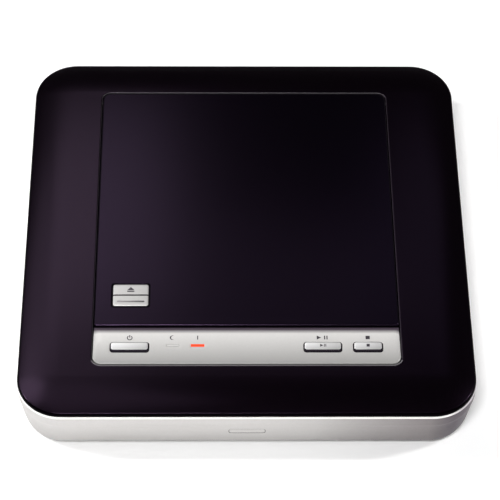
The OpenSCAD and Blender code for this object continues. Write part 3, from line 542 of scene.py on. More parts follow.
# ---------------------------------------------------------------------------
# lower shell
# ---------------------------------------------------------------------------
def smooth_profile(pts, per=4):
    """Catmull-Rom through (inset, z) points, chord-length parameter."""
    out = []
    n = len(pts)
    for i in range(n - 1):
        p0 = pts[max(i - 1, 0)]
        p1, p2 = pts[i], pts[i + 1]
        p3 = pts[min(i + 2, n - 1)]
        d = [max(math.dist(a, b), 1e-6) ** 0.5 for a, b in ((p0, p1), (p1, p2), (p2, p3))]
        if i == 0:
            d[0] = d[1]
        if i == n - 2:
            d[2] = d[1]
        t0, t1 = 0.0, d[0]
        t2, t3 = t1 + d[1], t1 + d[1] + d[2]
        for k in range(per):
            t = t1 + (t2 - t1) * k / per
            c = []
            for ax in (0, 1):
                q0 = p0[ax] if i > 0 else 2 * p1[ax] - p2[ax]
                q3 = p3[ax] if i < n - 2 else 2 * p2[ax] - p1[ax]
                a1 = (t1 - t) / (t1 - t0) * q0 + (t - t0) / (t1 - t0) * p1[ax]
                a2 = (t2 - t) / (t2 - t1) * p1[ax] + (t - t1) / (t2 - t1) * p2[ax]
                a3 = (t3 - t) / (t3 - t2) * p2[ax] + (t - t2) / (t3 - t2) * q3
                b1 = (t2 - t) / (t2 - t0) * a1 + (t - t0) / (t2 - t0) * a2
                b2 = (t3 - t) / (t3 - t1) * a2 + (t - t1) / (t3 - t1) * a3
                c.append((t2 - t) / (t2 - t1) * b1 + (t - t1) / (t2 - t1) * b2)
            out.append(tuple(c))
    out.append(pts[-1])
    return out


body_rr = rr(-CX - R, -CY - R, CX + R, CY + R, R, R, 20)

POSTS = [(106, 104), (-106, 104), (106, -104), (-106, -104), (110, 0), (-110, 0)]
TRAY_POSTS = [(76, 84), (-76, 84), (80, -32), (-80, -32)]
STANDOFFS = [(-36, 62), (64, 62), (-36, 109), (64, 96), (-113, 16), (-86, 16), (-113, 93), (-86, 93)]

s = Solid()
outer = smooth_profile([(1.3, S - .2), (0.75, S - .22), (0.42, S - .34), (0.17, S - .6), (0.05, S - 1.0), (0.02, S - 1.7), (0.2, S - 8.5), (0.6, F + 21),
                        (1.2, F + 15), (1.9, F + 9), (2.7, F + 4.2), (3.45, F + 1.8), (4.3, F + .75), (5.6, F + .15), (7, F)], 4)
outer = [(max(i, 0.015), max(z, F)) for i, z in outer]
inner = [(2.7, S - .1), (2.7, S - 0.4), (2.7, F + 24), (3.3, F + 18), (4.1, F + 11), (4.9, F + 5), (5.6, F + 2.8), (7, FL)]
rings = [s.ring(body_rr(i), z) for i, z in outer]
# the rounded top edge takes the lip material, a painted highlight
for k, (a, b) in enumerate(zip(rings, rings[1:])):
    s.mat = 1 if outer[k + 1][1] > S - 1.8 else 0
    s.wall(a, b)
top_ring, bottom_ring = rings[0], rings[-1]
s.mat = 1
s.mat = 0
in_top, in_bottom = s.stack(body_rr, inner, inward=True)
# the top of the inner wall takes the lip's painted highlight too
s.mat = 1
s.wall(in_top, top_ring)
s.mat = 0
vents = []
for sgn in (-1, 1):
    for i in range(9):
        vents.append(pill(sgn * 101, 22 + i * 7, 20.6, 2.6))
low_holes, high_holes = [], []
for f in vents:
    # slot through the floor with softened edges
    a, b = s.stack(f, [(-0.35, FL), (-0.1, FL - 0.1), (0, FL - 0.35), (0, F + 0.4), (-0.12, F + 0.12), (-0.4, F)], inward=True)
    high_holes.append(a)
    low_holes.append(b)
for x, y in POSTS:
    # screw way from below, post above
    a, b = s.stack(circ(x, y, 3.5), [(1.9, 20), (1.9, 12), (0, 12), (0, F + 0.4), (-0.12, F + 0.12), (-0.4, F)], inward=True)
    low_holes.append(b)
    c, d = s.stack(circ(x, y, 4.2), [(0.4, 20), (0.12, 19.88), (0, 19.6), (0, FL)])
    s.wall(a, c)
    high_holes.append(d)
for x, y in TRAY_POSTS:
    a, b = s.stack(circ(x, y, 1.25), [(0, 28), (0, 15)], inward=True)
    s.cap(b)
    c, d = s.stack(circ(x, y, 3.5), [(0.4, 28), (0.12, 27.88), (0, 27.6), (0, FL)])
    s.wall(a, c)
    high_holes.append(d)
for x, y in STANDOFFS:
    c, d = s.stack(circ(x, y, 2.6), [(0.3, 8), (0.1, 7.9), (0, 7.7), (0, FL)])
    s.cap(c)
    high_holes.append(d)
s.cap(bottom_ring, low_holes, up=False)
s.cap(in_bottom, high_holes)
housing = raw(s, "lower_shell", [MAT["shell_silver"], MAT["lip_painted_highlight"], MAT["painted_shade_dark"]])

# frame round the recessed rear panel, ribs
t = Solid()
box_into(t, -94, 115.9, 7.4, 68, 121.3, 28.6)
boolean(housing, raw(t), "UNION")
t = Solid()
box_into(t, -92, 114.3, 9, 66, 130, 27)
boolean(housing, raw(t))
t = Solid()
for x in (-94, -30, 66):
    box_into(t, x, 111.4, FL - 0.6, x + 2, 114.4, 26)
boolean(housing, raw(t), "UNION")
# window slot in the front wall; its walls take the near-black painted shade
t = Solid()
t.mat = 2
a, b = t.stack(rr(-9.95, 16.15, 9.95, 20.95, 1.55, 1.55, 6), [(0, 1), (0, -14)])
t.cap(a)
t.cap(b, up=False)
turn_pts(t, lambda x, y, z: (x, z - 116, y))
t.f = [tuple(reversed(q)) for q in t.f]
boolean(housing, raw(t, "tool", [MAT["shell_silver"], MAT["lip_painted_highlight"], MAT["painted_shade_dark"]]))
dress(housing, "chassis", ["base_housing"], sharp=34)

# ---------------------------------------------------------------------------
# top cover
# ---------------------------------------------------------------------------
open_rr = rr(-OHW, OY0, OHW, OY1, 5, 5, 12)
cover_rr = rr(-CX - R, -CY - R, CX + R, CY + R, R, R, 20)
s = Solid()
crown = [(23.6 - 22.1 * k / 28, T - 3.1 * (1 - (23.6 - 22.1 * k / 28) / 26) ** 2.3) for k in range(29)]
edge = smooth_profile([crown[-2], crown[-1], (1.15, T - 2.93), (0.84, T - 3.25), (0.62, T - 3.7), (0.48, T - 4.3), (0.42, S - .2)], 4)[5:]
rings = [s.ring(cover_rr(i), z) for i, z in crown + edge]
# the outer edge roll takes cover_rim, painted shade
for k, (a, b) in enumerate(zip(rings, rings[1:])):
    s.mat = 3 if k >= len(crown) else 0
    s.wall(a, b)
s.mat = 0
ct, cb = rings[0], rings[-1]
it, ib = s.stack(cover_rr, [(22, T - 2), (16, T - 2.2), (10, T - 2.7), (6, T - 3.4), (4.7, T - 4.2), (4.7, S - 3)], inward=True)
ot, obm = s.stack(cover_rr, [(2.9, S), (2.9, S - 3)])
s.wall(cb, ot)
s.wall(obm, ib)
# opening: soft edge, wall, skirt; the soft edge carries the painted highlight line, lighter and wider at the front
op = [s.ring(open_rr(i), z) for i, z in [(-0.75, T), (-0.50, T - 0.05), (-0.28, T - 0.15), (-0.12, T - 0.3), (0, T - 0.6), (0, 30.4), (0, 30)]]
for k, (a, b) in enumerate(zip(op, op[1:])):
    s.mat = 1 if k in (2, 3) else 0
    k0 = len(s.f)
    s.wall(a, b, inward=True)
    if k in (0, 1, 2):
        for q in range(k0, len(s.f)):
            if max(s.v[i][1] for i in s.f[q]) < OY0 + 3.2:
                s.m[q] = 2
s.mat = 0
et, eb = op[0], op[-1]
kt, kb = s.stack(rr(-OHW - 2, OY0 - 2, OHW + 2, OY1 + 2, 7, 7, 12), [(0, T - 2), (0, 30)])
s.wall(kb, eb)
s.cap(ct, [et])
s.cap(it, [kt], up=False)
cover = raw(s, "top_shell", [MAT["cover_black"], MAT["edge_line"], MAT["edge_line_front"], MAT["cover_rim"]])
t = Solid()
for x, y in POSTS:
    post_into(t, x, y, 20.05, T - 2.3 if abs(y) > 1 else T - 2.2, 3.5)
boolean(cover, raw(t), "UNION")
t = Solid()
for x, y in POSTS:
    post_into(t, x, y, 19, 33, 1.25, 24)
boolean(cover, raw(t))
t = Solid()
box_into(t, -82, OY1 - 3, 29, 82, OY1 + 4, T - 3.5)
box_into(t, -90, -100, 29, 90, LY0 - .3, 31.5)
boolean(cover, raw(t))
t = Solid()
for sg in (-1, 1):
    a, b = t.stack(circ(0, 0, 0.75, 24), [(0, 3.4), (0, 0)])
    k = len(t.v)
    t.cap(a)
    t.cap(b, up=False)
    n0 = k - 48
    for i in range(n0, k):
        x, y, z = t.v[i]
        t.v[i] = ((83.4 + z) if sg > 0 else (-86.8 + z), HINGE_Y + x, HINGE_Z + y)
boolean(cover, raw(t))
dress(cover, "chassis", ["top_cover"], sharp=34)

# ---------------------------------------------------------------------------
# lid
# ---------------------------------------------------------------------------
s = Solid()
lid_rr = rr(-LHW, LY0, LHW, LY1, 1.2, 4.6, 12)
key_rr = rr(OKX - 10.8, OKY - 8.15, OKX + 10.8, OKY + 8.15, 1.8, 1.8, 8)
lt, lb = s.stack(lid_rr, fillet(0.9, 6, T) + [(0, T - 2.3), (0.1, T - 2.4)])
ht, hb = s.stack(key_rr, fillet(0.18, 3, T) + [(0, T - 2.4)], inward=True, sign=-1)
s.cap(lt, [ht])
s.cap(lb, [hb], up=False)
lid = raw(s, "lid_shell", MAT["lid_black"])
t = Solid()
a, b = t.stack(rr(-LHW, LY0, LHW, 86, .8, .8, 6), [(0.12, 38), (0.12, 35.5), (0.3, 35.2)])
c, d = t.stack(rr(-LHW, LY0, LHW, 86, .8, .8, 6), [(1.6, 38), (1.6, 35.2)], inward=True)
t.wall(c, a)
t.wall(b, d)
boolean(lid, raw(t), "UNION")
t = Solid()
for sg in (-1, 1):
    x0, x1 = (74, 83.8) if sg > 0 else (-83.8, -74)
    box_into(t, x0, 88, 35.7, x1, 95, T - 1.9)
boolean(lid, raw(t), "UNION")
t = Solid()
for sg in (-1, 1):
    a, b = t.stack(circ(0, 0, 0.72, 24), [(0, 9), (0, 0)])
    t.cap(a)
    t.cap(b, up=False)
    for i in range(len(t.v) - 48, len(t.v)):
        x, y, z = t.v[i]
        t.v[i] = ((76 + z) if sg > 0 else (-85 + z), HINGE_Y + x, HINGE_Z + y)
for x, y in ((62, 74), (-62, 74), (72, -52), (-36, -56)):
    post_into(t, x, y, 36, 38.7, 1.0, 24)
boolean(lid, raw(t))
dress(lid, "lid", ["lid_panel"], sharp=34)


# ---------------------------------------------------------------------------
# control strip
# ---------------------------------------------------------------------------
STRIP = smooth_profile([(-68.30, 38.0), (-69.0, 38.38), (-70.0, 38.72), (-71.2, 39.0), (-72.5, 39.19), (-74.0, 39.30),
                        (-77.0, 39.32), (-82.0, 39.2), (-88.0, 38.98), (-93.3, 38.7)], 8)


def strip_z(x, y):
    """Height of the strip's top face."""
    y = min(max(y, -93.3), -68.3)
    for (y0, z0), (y1, z1) in zip(STRIP, STRIP[1:]):
        if y1 <= y <= y0 and y0 - y1 > 1e-9:
            return z0 + (z1 - z0) * (y0 - y) / (y0 - y1)
    return STRIP[-1][1]


s = Solid()
strip_rr = rr(-LHW, -92.5, LHW, -68.3, 4.6, .3, 14)


def on_strip(dz):
    return lambda x, y: strip_z(x, y) + dz


prof = fillet(0.55, 4, 0.0)
rings = [s.ring(strip_rr(i), on_strip(z)) for i, z in prof]
low = s.ring(strip_rr(0), lambda x, y: min(strip_z(x, y) - 0.8, 34.6))
rings.append(low)
for a, b in zip(rings, rings[1:]):
    s.wall(a, b)
holes = []
hole_bottoms = []
for f in (rr(POWER_X - 10.8, KEY_Y - 3.35, POWER_X + 10.8, KEY_Y + 3.35, 1.8, 1.8, 8),
          rr(PLAY_X - 10.65, KEY_Y - 3.35, PLAY_X + 10.65, KEY_Y + 3.35, 1.8, 1.8, 8),
          rr(STOP_X - 8.25, KEY_Y - 3.35, STOP_X + 8.25, KEY_Y + 3.35, 1.8, 1.8, 8)):
    hr = [s.ring(f(-i), on_strip(z)) for i, z in fillet(0.2, 3, 0.0)]
    hr.append(s.ring(f(0), 37.1))
    # the hole walls below their soft edge take the near-black painted shade, for the dark gap round each key
    for a, b in zip(hr, hr[1:]):
        s.mat = 1 if b is hr[-1] else 0
        s.wall(a, b, inward=True)
    s.mat = 0
    holes.append(hr[0])
    hole_bottoms.append(hr[-1])
for f in (rr(-43.9, LED_Y - .6, -36.9, LED_Y + .6, .15, .15, 3), rr(-30.6, LED_Y - .85, -23.1, LED_Y + .85, .15, .15, 3)):
    hr = [s.ring(f(-i), on_strip(z)) for i, z in fillet(0.08, 2, 0.0)]
    hr.append(s.ring(f(0), 37.1))
    for a, b in zip(hr, hr[1:]):
        s.wall(a, b, inward=True)
    holes.append(hr[0])
    hole_bottoms.append(hr[-1])
rows = [-91.7, -90.9, -90.0, -89, -87.8, -86.7, -85.9, -84.6, -83.4, -82.1, -80.8, -79.5, -78.3, -77.2, -76.2, -75.3, -74.5, -73.8, -73.2, -72.6, -72.1, -71.6,
        -71.15, -70.7, -70.3, -69.95, -69.65, -69.4, -69.2, -69.0]
s.cap_grid(rings[0], holes, strip_z, 2.4, rows)
# underside: skin, skirt
inner_rr = rr(-LHW + 1.4, -91.1, LHW - 1.4, -70.0, 3.2, .3, 14)
iu = s.ring(inner_rr(0), lambda x, y: 37.1 if y < -72 else 36.2)
il = s.ring(inner_rr(0), 34.6)
s.wall(iu, il, inward=True)
s.wall(il, low)
s.cap(iu, hole_bottoms, up=False)
strip = raw(s, "key_strip", [MAT["strip_silver"], MAT["painted_shade_dark"]])
dress(strip, "chassis", ["control_strip"], sharp=38, weighted=False)


# ---------------------------------------------------------------------------
# keys
# ---------------------------------------------------------------------------
def strip_key(name, body, x, w, node):
    d = 6.0
    s = Solid()
    f = rr(x - w / 2, KEY_Y - d / 2, x + w / 2, KEY_Y + d / 2, 1.5, 1.5, 8)

    def top(px, py):
        t = (KEY_Y + 1 - py) / (d / 2 + 1)
        return KEY_TOP - (0.45 * max(0.0, t) ** 1.8)

    def edge(i):
        """The front edge rolls over a longer way than the others."""
        q = max(1.5 - i, 0.25)
        return rr(x - w / 2 + i, KEY_Y - d / 2 + 1.75 * i, x + w / 2 - i, KEY_Y + d / 2 - 0.8 * i, q, q, 8)(0)

    prof = [(1.1, 0.0), (0.86, -0.02), (0.66, -0.075), (0.5, -0.16), (0.36, -0.28), (0.22, -0.43), (0.1, -0.62), (0.02, -0.85), (0.0, -1.1)]
    rings = [s.ring(edge(i), (lambda z: (lambda px, py: top(px, py) + z))(z)) for i, z in prof]
    rings.append(s.ring(edge(0), 36.9))
    # the lower sides all round, and the rounded edge where it faces front or right, take the near-black painted shade
    for k, (a, b) in enumerate(zip(rings, rings[1:])):
        s.mat = 1 if k >= 4 else 0
        k0 = len(s.f)
        s.wall(a, b)
        if k in (2, 3):
            for q in range(k0, len(s.f)):
                p0, p1, p3 = (Vector(s.v[s.f[q][c]]) for c in (0, 1, 3))
                nrm = (p1 - p0).cross(p3 - p0)
                if nrm.length > 0:
                    nrm.normalize()
                    if nrm.y < -0.2 or (nrm.x > 0.2 and k == 3):
                        s.m[q] = 1
    s.mat = 0
    s.cap_grid(rings[0], [], top, 1.2, [KEY_Y + q for q in (-1.6, -1.1, -0.6, 0, 0.7, 1.4)])
    s.mat = 1
    g = rr(x - w / 2 - 1.1, KEY_Y - d / 2 - 1, x + w / 2 + 1.1, KEY_Y + d / 2 + 1, 1, 1, 8)
    a, b = s.stack(g, [(0, 36.9), (0, 35.9)])
    s.wall(rings[-1], a)
    st, sb = s.stack(circ(x, KEY_Y, 2, 24), [(0, 35.9), (0, 34)])
    tt, tb = s.stack(circ(x, KEY_Y, 1.4, 24), [(0, 34), (0.2, 32.6)])
    s.wall(sb, tt)
    s.cap(tb, up=False)
    s.cap(b, [st], up=False)
    ob = raw(s, name, [MAT["key_silver_" + name.split("_")[0]], MAT["painted_shade_dark"]])
    dress(ob, body, [node], sharp=40, weighted=False)
    return ob, top


power_ob, key_top_fn = strip_key("power_button_cap", "power_button", POWER_X, 20.9, "power_key")
play_ob, _ = strip_key("play_button_cap", "play_button", PLAY_X, 20.6, "play_key")
stop_ob, _ = strip_key("stop_button_cap", "stop_button", STOP_X, 15.8, "stop_key")


# indicator light pipes
def light_pipe(name, x0, x1, hw, top, mat, node):
    s = Solid()
    f = rr(x0, LED_Y - hw, x1, LED_Y + hw, .12, .12, 3)
    a, b = s.stack(f, fillet(0.1, 2, top) + [(0, 32.2)])
    s.cap(a)
    s.cap(b, up=False)
    ob = raw(s, name, MAT[mat])
    dress(ob, "chassis", [node], sharp=40)


light_pipe("standby_bar", -43.78, -37.02, .48, 39.26, "lens_frosted", "standby_led_lens")
light_pipe("on_bar", -30.5, -23.2, .75, 39.3, "lens_red", "on_led_lens")

# infrared window, flush with the tapered wall
s = Solid()
wf = rr(-9.69, 16.41, 9.69, 20.69, 1.29, 1.29, 6)


def wall_y(z):
    """Outer face of the front wall at height z."""
    pts = [(F + 9, 1.9), (F + 15, 1.2), (F + 21, 0.6)]
    for (z0, i0), (z1, i1) in zip(pts, pts[1:]):
        if z <= z1 or (z1, i1) == pts[-1]:
            return -(124 - (i0 + (i1 - i0) * (z - z0) / (z1 - z0)))


rings = []
for i, dy in fillet(0.12, 3, 0.0):
    rings.append(s.ring3([(x, wall_y(z) - dy + 0.03, z) for x, z in wf(i)]))
rings.append(s.ring3([(x, -119.62, z) for x, z in wf(0)]))
# the pane's walls take the near-black painted shade, for the dark gap round it
for k, (a, b) in enumerate(zip(rings, rings[1:])):
    s.mat = 1 if k >= 2 else 0
    s.wall(a, b)
s.mat = 0
polys = [[Vector((s.v[i][0], s.v[i][2], 0)) for i in rings[0]]]
for t3 in geometry.tessellate_polygon(polys):
    a, b, c = (rings[0][i] for i in t3)
    if (s.v[b][0] - s.v[a][0]) * (s.v[c][2] - s.v[a][2]) - (s.v[b][2] - s.v[a][2]) * (s.v[c][0] - s.v[a][0]) < 0:
        a, b, c = c, b, a
    s.face((a, b, c))
for t3 in geometry.tessellate_polygon([[Vector((s.v[i][0], s.v[i][2], 0)) for i in rings[-1]]]):
    a, b, c = (rings[-1][i] for i in t3)
    if (s.v[b][0] - s.v[a][0]) * (s.v[c][2] - s.v[a][2]) - (s.v[b][2] - s.v[a][2]) * (s.v[c][0] - s.v[a][0]) > 0:
        a, b, c = c, b, a
    s.face((a, b, c))
win = raw(s, "infrared_pane", [MAT["window_silver"], MAT["painted_shade_dark"]])
dress(win, "chassis", ["ir_window"], sharp=40)


# ---------------------------------------------------------------------------
# open key with its groove and finger line
# ---------------------------------------------------------------------------
def smooth01(t):
    t = max(0.0, min(1.0, t))
    return t * t * (3 - 2 * t)


def key_face(x, y):
    """Height of the open key's top: two halves with a channel between them."""
    u = y - OKY
    z = KEY_TOP
    if u > 0.12:
        z -= 0.72 * (1 - smooth01((u - 0.12) / 0.10)) + 0.05 * (1 - smooth01((u - 0.2) / 0.8))
    elif u > -0.52:
        z -= 0.77
    else:
        z -= 0.77 * (1 - smooth01((-0.52 - u) / 0.14))
    if u < -0.7:
        z -= 0.10 * smooth01((-0.7 - u) / 6.0)
    return z


s = Solid()
f = rr(OKX - 9.9, OKY - 7.4, OKX + 9.9, OKY + 7.1, 1.3, 1.3, 8)


def dense(f, ys):
    """Loop with extra points on its long left and right sides at the given y values."""
    def g(d):
        pts = f(d)
        out = []
        n = len(pts)
        for k in range(n):
            a, b = pts[k], pts[(k + 1) % n]
            out.append(a)
            if abs(a[0] - b[0]) < 1e-9 and abs(a[1] - b[1]) > 2.0:
                mids = [y for y in ys if min(a[1], b[1]) < y < max(a[1], b[1])]
                mids.sort(reverse=b[1] < a[1])
                out += [(a[0], y) for y in mids]
        return out
    return g


rowsk = [OKY + q for q in (-5.9, -5.5, -3.4, -2.6, -1.8, -1.0, -0.7, -0.66, -0.62, -0.58, -0.55, -0.52, -0.3, 0.0, 0.12, 0.14, 0.17, 0.20, 0.22, 0.3, 0.4, 0.55, 0.75,
                           1.0, 1.3, 2.0, 3.0, 4.0, 5.0)]
fd = dense(f, rowsk)
prof = [(0.9, 0.0), (0.7, -0.02), (0.5, -0.08), (0.3, -0.2), (0.14, -0.36), (0.04, -0.56), (0.0, -0.8)]
rings = []
for k, (i, dz) in enumerate(prof):
    rings.append(s.ring(fd(i), (lambda dz: (lambda x, y: key_face(x, y) + dz))(dz)))
rings.append(s.ring(fd(0), 36.95))
# the lower sides and the groove's walls take the near-black painted shade
for k, (a, b) in enumerate(zip(rings, rings[1:])):
    s.mat = 1 if k >= 4 else 0
    k0 = len(s.f)
    s.wall(a, b)
    for q in range(k0, len(s.f)):
        yy = [s.v[i][1] - OKY for i in s.f[q]]
        if min(yy) > -0.67 and max(yy) < 0.21:
            s.m[q] = 1
s.mat = 0
# finger line: a shallow slot with round ends
slot = pill(OKX + 0.1, OKY - 4.4, 15.2, 1.0, 6)
sr = [s.ring(slot(-i), (lambda z: (lambda x, y: key_face(x, y) + z))(z)) for i, z in fillet(0.12, 3, 0.0)]
sr.append(s.ring(slot(0.0), (lambda x, y: key_face(x, y) - 0.3)))
sr.append(s.ring(slot(0.15), (lambda x, y: key_face(x, y) - 0.42)))
# the slot's lower walls and floor take finger_line, with painted shade
for k, (a, b) in enumerate(zip(sr, sr[1:])):
    s.mat = 2 if k >= 2 else 0
    s.wall(a, b, inward=True)
s.mat = 2
s.cap(sr[-1])
s.mat = 0
k0 = len(s.f)
s.cap_grid(rings[0], [sr[0]], key_face, 0.9, rowsk)
for k in range(k0, len(s.f)):                      # the bottom of the groove is dark: painted shade
    yy = [s.v[i][1] - OKY for i in s.f[k]]
    if min(yy) > -0.67 and max(yy) < 0.21:
        s.m[k] = 1
s.mat = 1
ft, fb = s.stack(rr(-76, -53.3, -52.2, -38.6, .4, .4, 4), [(0, 36.95), (0, 35.7)])
# the cap stands a little in front of the flange, so it has its own floor
s.cap(rings[-1], up=False)
s.cap(ft)
s.cap(fb, up=False)
box_into(s, -67.1, -51.4, 34.63, -61.1, -49.6, 35.7)
okey = raw(s, "open_button_cap", [MAT["open_key_silver"], MAT["painted_shade_dark"], MAT["finger_line"]])
dress(okey, "open_button", ["open_key"], sharp=40, weighted=False)


# return spring under the cap: a coil whose lower end stands on the latch housing and whose upper end is under the key
s = Solid()
coil, turns, steps, sides = 2.9, 4.3, 40, 10
rings = []
for k in range(int(turns * steps) + 1):
    a = 2 * math.pi * k / steps
    u = k / (turns * steps)
    cz = 32.6 + 2.9 * min(1.0, max(0.0, (u - 0.09) / 0.82))
    wr = 0.17
    c = (OKX + coil * math.cos(a), -43.6 + coil * math.sin(a), cz)
    rings.append(s.ring3([(c[0] + wr * math.cos(b) * math.cos(a), c[1] + wr * math.cos(b) * math.sin(a), c[2] + wr * math.sin(b))
                          for b in (2 * math.pi * j / sides for j in range(sides))]))
for a, b in zip(rings, rings[1:]):
    s.wall(a, b, inward=True)
s.face(tuple(rings[0]))
s.face(tuple(reversed(rings[-1])))
okspring = raw(s, "open_key_coil", MAT["rod_steel"])
okspring.data.polygons.foreach_set("use_smooth", [True] * len(okspring.data.polygons))
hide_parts("open_key_spring")
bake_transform(okspring)


# ---------------------------------------------------------------------------
# printed symbols, generic ones, as thin ink
# ---------------------------------------------------------------------------
def ink(name, body, shapes, z, thick=0.03):
    """shapes: lists of closed loops [(outer, [holes])], in mm; z(x, y) gives the face they lie on."""
    s = Solid()
    for outer, hs in shapes:
        tops, lows = [], []
        for k, loop in enumerate([outer] + hs):
            a = s.ring(loop, lambda x, y: z(x, y) + thick)
            b = s.ring(loop, lambda x, y: z(x, y) - 0.02)
            s.wall(a, b, inward=False)
            tops.append(a)
            lows.append(b)
        s.cap(tops[0], tops[1:])
        s.cap(lows[0], lows[1:], up=False)
    ob = raw(s, name, INK)
    dress(ob, body, (), sharp=30, weighted=False)
    return ob


def poly(cx, cy, pts, k=1.0):
    return [(cx + k * x, cy + k * y) for x, y in pts]


def arc_band(cx, cy, r, w, a0, a1, n=26):
    """Closed loop of a ring segment from a0 to a1 degrees, counter-clockwise."""
    out = [(cx + (r + w / 2) * math.cos(math.radians(a0 + (a1 - a0) * k / n)), cy + (r + w / 2) * math.sin(math.radians(a0 + (a1 - a0) * k / n))) for k in range(n + 1)]
    inn = [(cx + (r - w / 2) * math.cos(math.radians(a1 + (a0 - a1) * k / n)), cy + (r - w / 2) * math.sin(math.radians(a1 + (a0 - a1) * k / n))) for k in range(n + 1)]
    return out + inn


def bar(cx, cy, w, h):
    return [(cx - w / 2, cy - h / 2), (cx + w / 2, cy - h / 2), (cx + w / 2, cy + h / 2), (cx - w / 2, cy + h / 2)]


def tri(cx, cy, w, h):
    """Points right."""
    return [(cx - w / 2, cy - h / 2), (cx + w / 2, cy), (cx - w / 2, cy + h / 2)]


def crescent(cx, cy, r, n=24):
    """Moon: an outer arc and a shifted inner arc."""
    out = [(cx + r * math.cos(math.radians(55 + 250 * k / n)), cy + r * math.sin(math.radians(55 + 250 * k / n))) for k in range(n + 1)]
    ex, ey = out[0]
    ri = r * 0.86
    ox = ex - math.sqrt(ri ** 2 - (ey - cy) ** 2)
    a = math.degrees(math.atan2(ey - cy, ex - ox))
    inn = [(ox + ri * math.cos(math.radians(-a - (360 - 2 * a) * k / n)), cy + ri * math.sin(math.radians(-a - (360 - 2 * a) * k / n))) for k in range(1, n)]
    return out + inn


LBL = -75.9
lab = []
# power: broken ring and stroke
lab.append((arc_band(POWER_X, LBL - 0.1, 1.3, 0.5, 125, 415), []))
lab.append((bar(POWER_X, LBL + 0.9, 0.5, 1.6), []))
# standby: crescent; on: a plain stroke
lab.append((crescent(-40.6, LBL, 1.45), []))
lab.append((bar(-26.85, LBL, 0.55, 2.5), []))
# play and pause, stop
lab.append((tri(PLAY_X - 2.0, LBL, 2.4, 2.5), []))
lab.append((bar(PLAY_X + 1.1, LBL, 0.65, 2.4), []))
lab.append((bar(PLAY_X + 2.4, LBL, 0.65, 2.4), []))
lab.append((bar(STOP_X, LBL, 2.3, 2.2), []))
ink("strip_symbols", "chassis", lab, strip_z)
ink("play_symbol", "play_button", [(tri(PLAY_X - 0.7, KEY_Y + 0.65, 1.7, 1.9), []), (bar(PLAY_X + 0.75, KEY_Y + 0.65, 0.42, 1.7), []),
                                   (bar(PLAY_X + 1.55, KEY_Y + 0.65, 0.42, 1.7), [])], key_top_fn)
ink("stop_symbol", "stop_button", [(bar(STOP_X, KEY_Y + 0.65, 1.7, 1.7), [])], key_top_fn)
ink("open_symbol", "open_button", [([(OKX - 2.0, OKY + 3.1), (OKX + 2.0, OKY + 3.1), (OKX, OKY + 5.2)], []),
                                   (bar(OKX, OKY + 2.3, 4.0, 0.75), [])], key_face)


# ---------------------------------------------------------------------------
# CAD nodes that stay: soft edges by modifiers, better shading
# ---------------------------------------------------------------------------
def soften(node, width, segments=2, angle=40.0):
    ob = frame["nodes"][node]
    w = ob.modifiers.new("weld", "WELD")
    w.merge_threshold = 1e-6
    d = ob.modifiers.new("flat", "DECIMATE")
    d.decimate_type, d.angle_limit = "DISSOLVE", math.radians(0.4)
    b = ob.modifiers.new("edge", "BEVEL")
    b.width, b.segments, b.limit_method, b.angle_limit = width * MM, segments, "ANGLE", math.radians(angle)
    b.use_clamp_overlap = True
    b.harden_normals = False
    n = ob.modifiers.new("wn", "WEIGHTED_NORMAL")
    n.mode, n.weight, n.keep_sharp = "FACE_AREA", 50, False


for node, width in (("rubber_feet", .6), ("rear_panel", .3), ("mains_inlet", .5), ("inlet_pins", .2), ("av_jack_block", .4),
                    ("av_jack_barrels", .25), ("jack_ring_yellow", .25), ("jack_ring_white", .25), ("jack_ring_red", .25),
                    ("housing_screws", .3), ("tray_screws", .25), ("lid_screws", .2), ("lid_bumpers", .3), ("lid_liner", .4),
                    ("lid_gear_sector", .15), ("lid_damper", .35), ("damper_pinion", .12), ("disc_tray", .5), ("turntable", .35),
                    ("spindle_shaft", .25), ("spindle_motor", .4), ("traverse_frame", .3), ("isolation_grommets", .4),
                    ("traverse_screws", .2), ("guide_rods", .25), ("pickup_sled", .35), ("actuator_cover", .3), ("lens_holder", .25),
                    ("sled_motor", .4), ("key_board", .15), ("key_switches", .25), ("indicator_leds", .2), ("main_board", .15),
                    ("board_components", .2), ("heat_sink", .2), ("power_board", .15), ("transformer", .6), ("power_capacitors", .6),
                    ("latch_housing", .3), ("latch_lever", .2), ("latch_pin", .15), ("hinge_pins", .12)):
    soften(node, width)


# ---------------------------------------------------------------------------
# floor, lights, camera
# ---------------------------------------------------------------------------
me = bpy.data.meshes.new("floor")
me.from_pydata([(-8, -8, 0), (8, -8, 0), (8, 8, 0), (-8, 8, 0)], [], [(0, 1, 2, 3)])
floor = bpy.data.objects.new("floor", me)
bpy.context.scene.collection.objects.link(floor)
fm = bpy.data.materials.new("floor_white")
fm.use_nodes = True
fb_ = fm.node_tree.nodes["Principled BSDF"]
fb_.inputs["Base Color"].default_value = (0.93, 0.93, 0.93, 1)
fb_.inputs["Roughness"].default_value = 0.9
fb_.inputs["Specular IOR Level"].default_value = 0.1
fn, fl_ = fm.node_tree.nodes, fm.node_tree.links
ftc = fn.new("ShaderNodeTexCoord")
fln = fn.new("ShaderNodeVectorMath")
fln.operation = "LENGTH"
fmr = fn.new("ShaderNodeMapRange")
fmr.interpolation_type = "SMOOTHSTEP"
fmr.inputs["From Min"].default_value, fmr.inputs["From Max"].default_value = 0.42, 1.3
fmr.inputs["To Min"].default_value, fmr.inputs["To Max"].default_value = 0.10, 0.95
fl_.new(ftc.outputs["Object"], fln.inputs[0])
fl_.new(fln.outputs["Value"], fmr.inputs["Value"])
fl_.new(fmr.outputs["Result"], fb_.inputs["Emission Strength"])
fb_.inputs["Emission Color"].default_value = (1, 1, 1, 1)
me.materials.append(fm)

